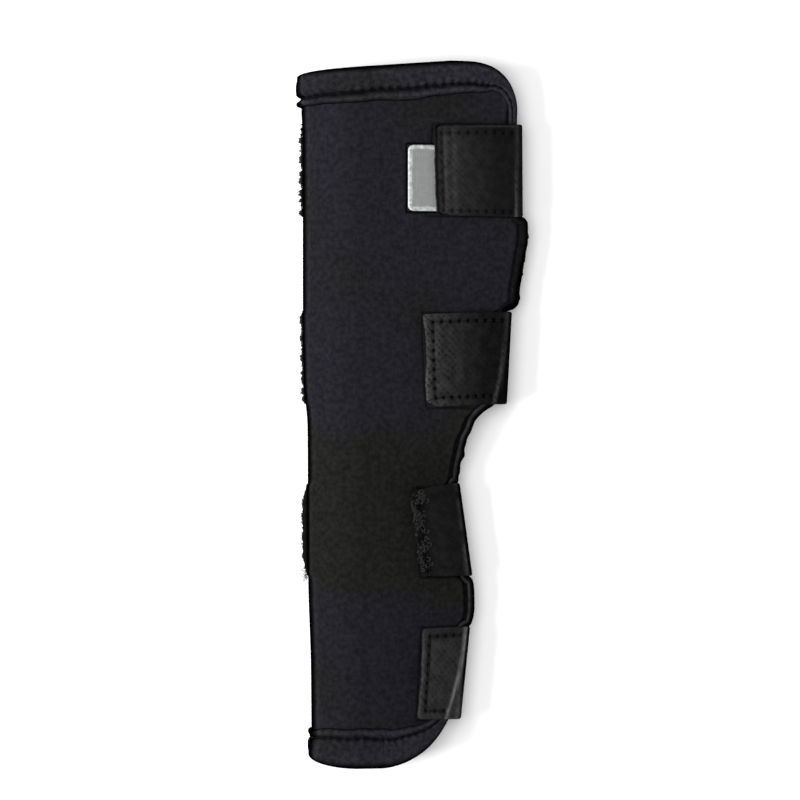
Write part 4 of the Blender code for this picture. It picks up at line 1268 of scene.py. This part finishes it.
def dress_stays():
    """The stays and their tips are the CAD's solids, which only take a finish."""
    for name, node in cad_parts.items():
        finish = STEEL if name.endswith("_stay") else TIP if name.endswith("_tip") else None
        if finish:
            for slot in node.material_slots:
                slot.material = finish


# ---- Floor, light and camera ----

CAMERA_HEIGHT = 2.2
CAMERA_OFFSET = (-0.0039, 0.00475)
SENSOR = 36.0
VIEW_WIDTH = 0.2712
LOOK_HEIGHT = 0.015  # half way up the sleeve
FLOOR_HALF = 2.5
FLOOR_GLOW = 0.08
SKY = 0.33
LAMPS = (("key", (-1.05, -0.12, 1.00), 0.60, 27.0), ("top", (-0.12, 0.06, 1.60), 1.00, 18.5))


def build_studio():
    paper = Nodes("paper", 0.9, specular=0.1)
    paper.shader.inputs["Emission Color"].default_value = (1.0, 1.0, 1.0, 1.0)
    paper.shader.inputs["Emission Strength"].default_value = FLOOR_GLOW
    tooth = paper.noise(paper.space(), 0.05)
    tone = paper.mix(tooth, toned((1, 1, 1), 0.90), toned((1, 1, 1), 0.92))
    corners = np.array([(-1, -1, 0), (1, -1, 0), (1, 1, 0), (-1, 1, 0)]) * FLOOR_HALF
    floor = mesh_piece("floor", corners, [(0, 1, 2, 3)], paper.finish(tone, tooth, 0.02 * MM))
    scene = bpy.context.scene
    world = bpy.data.worlds.new("studio")
    world.use_nodes = True
    background = world.node_tree.nodes["Background"]
    background.inputs["Color"].default_value = (1.0, 1.0, 1.0, 1.0)
    background.inputs["Strength"].default_value = SKY
    scene.world = world
    for name, place, size, power in LAMPS:
        light = bpy.data.lights.new(name, "AREA")
        light.shape = "SQUARE"
        light.size = size
        light.energy = power
        lamp = bpy.data.objects.new(name, light)
        lamp.location = place
        aim = np.array([0.0, 0.0, LOOK_HEIGHT]) - np.array(place)
        tilt, heading = math.acos(-aim[2] / np.linalg.norm(aim)), math.atan2(aim[1], aim[0])
        lamp.rotation_euler = (tilt, 0.0, heading - math.pi / 2)
        scene.collection.objects.link(lamp)
    scene.view_settings.view_transform = "Standard"
    camera_data = bpy.data.cameras.new("camera")
    camera_data.lens = SENSOR * (CAMERA_HEIGHT - LOOK_HEIGHT) / VIEW_WIDTH
    camera_data.clip_end = 20.0
    camera = bpy.data.objects.new("camera", camera_data)
    camera.location = (*CAMERA_OFFSET, CAMERA_HEIGHT)
    scene.collection.objects.link(camera)
    scene.camera = camera


def shadow_line_box(low_y, high_y, low_x, high_x, strength):
    """A box on the sleeve's front for a material's painted shadow line, in millimetres of flat cloth."""
    low, high = (float(Section(y).along_front(x, 1.0 * MM)) for y, x in ((low_y, low_x), (high_y, high_x)))
    slant = (high - low) / (high_y - low_y)
    return ((low + high) / 2 / MM, slant, low_y / MM, high_y / MM, strength, SHADOW_LINE_WIDTH)


def shadow_line_boxes():
    """Where the label and the tabs lie on the panel, each with a painted shadow line round it."""
    low_y, high_y, left_x = LABEL_BOX
    boxes = [shadow_line_box(low_y, high_y, left_x, left_x, 0.97)]
    for centre, _, _, _, _, tab_end, slip in STRAPS:
        low_y, high_y = (centre + k * HALF_STRAP + moved * MM for k, moved in zip((-1, 1), slip))
        low_x, high_x = tab_end[0][1] * MM, tab_end[-1][1] * MM
        boxes.append(shadow_line_box(low_y, high_y, min(low_x, 5 * MM), high_x, 0.6))
    return boxes


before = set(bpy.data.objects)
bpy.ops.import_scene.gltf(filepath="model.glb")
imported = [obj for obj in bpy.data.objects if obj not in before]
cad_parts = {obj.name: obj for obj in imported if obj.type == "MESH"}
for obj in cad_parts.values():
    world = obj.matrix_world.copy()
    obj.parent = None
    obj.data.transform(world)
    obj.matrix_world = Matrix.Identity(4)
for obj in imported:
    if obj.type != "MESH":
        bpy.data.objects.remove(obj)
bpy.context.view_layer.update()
build_studio()
JERSEY = jersey("jersey", (0.0118, 0.0112, 0.0148), (0.0106, 0.0105, 0.0101), outlines=shadow_line_boxes())
JERSEY_CUFF = jersey("jersey_cuff", (0.0158, 0.0152, 0.0194), (0.0154, 0.0152, 0.0160), 0.15, 1.30)
TAPE = jersey("edge_tape", (0.0084, 0.0082, 0.0090), (0.0078, 0.0076, 0.0078), 0.10)
LINING = jersey("lining", (0.0110, 0.0108, 0.0125), (0.0105, 0.0103, 0.0105), 0.14)
TWILL = twill("strap_twill", (0.0046, 0.0046, 0.0046), (0.0232, 0.0232, 0.0229), 0.85)
WORN_TWILL = twill("worn_twill", (0.0080, 0.0080, 0.0080), (0.0192, 0.0192, 0.0190), 0.65)
THREAD = yarn("thread", (0.0030, 0.0030, 0.0031))
STRAP_THREAD = yarn("strap_thread", (0.0085, 0.0085, 0.0085))
FIBRE = yarn("fibre", (0.0080, 0.0080, 0.0080))
LOOSE = yarn("loose_yarn", (0.0150, 0.0150, 0.0147))
HOOK = moulded("hook_tape", (0.0062, 0.0062, 0.0063), 0.8, 0.12)
TIP = moulded("stay_tip", (0.58, 0.58, 0.56), 0.5, 0.45)
STEEL = brushed_steel("spring_steel")
FILM = reflective("reflective_film")
BILLOW = simulate_billow()
build_sleeve()
build_cuff("top_cuff_pad", "top_cuff", WIDE_END, WIDE_GROOVE, 2.2 * MM, 0.95, 1.0)
build_cuff("bottom_cuff_pad", "bottom_cuff", NARROW_END, NARROW_GROOVE, 1.1 * MM, 0.80, 4.0)
build_binding("front_edge_tape", "front_edge_binding", 1)
build_binding("back_edge_tape", "back_edge_binding", -1)
for strap_number, strap_sizes in enumerate(STRAPS, 1):
    build_band(strap_number, strap_sizes)
    build_tab(strap_number, strap_sizes)
build_hooks()
fuzz_rng = np.random.default_rng(11)
fuzz_bands(fuzz_rng)
fuzz_tabs(fuzz_rng)
fray_third_tab(fuzz_rng)
build_label()
build_pocket("front_pocket", "front_stay_pocket", 1)
build_pocket("back_pocket", "back_stay_pocket", -1)
dress_stays()
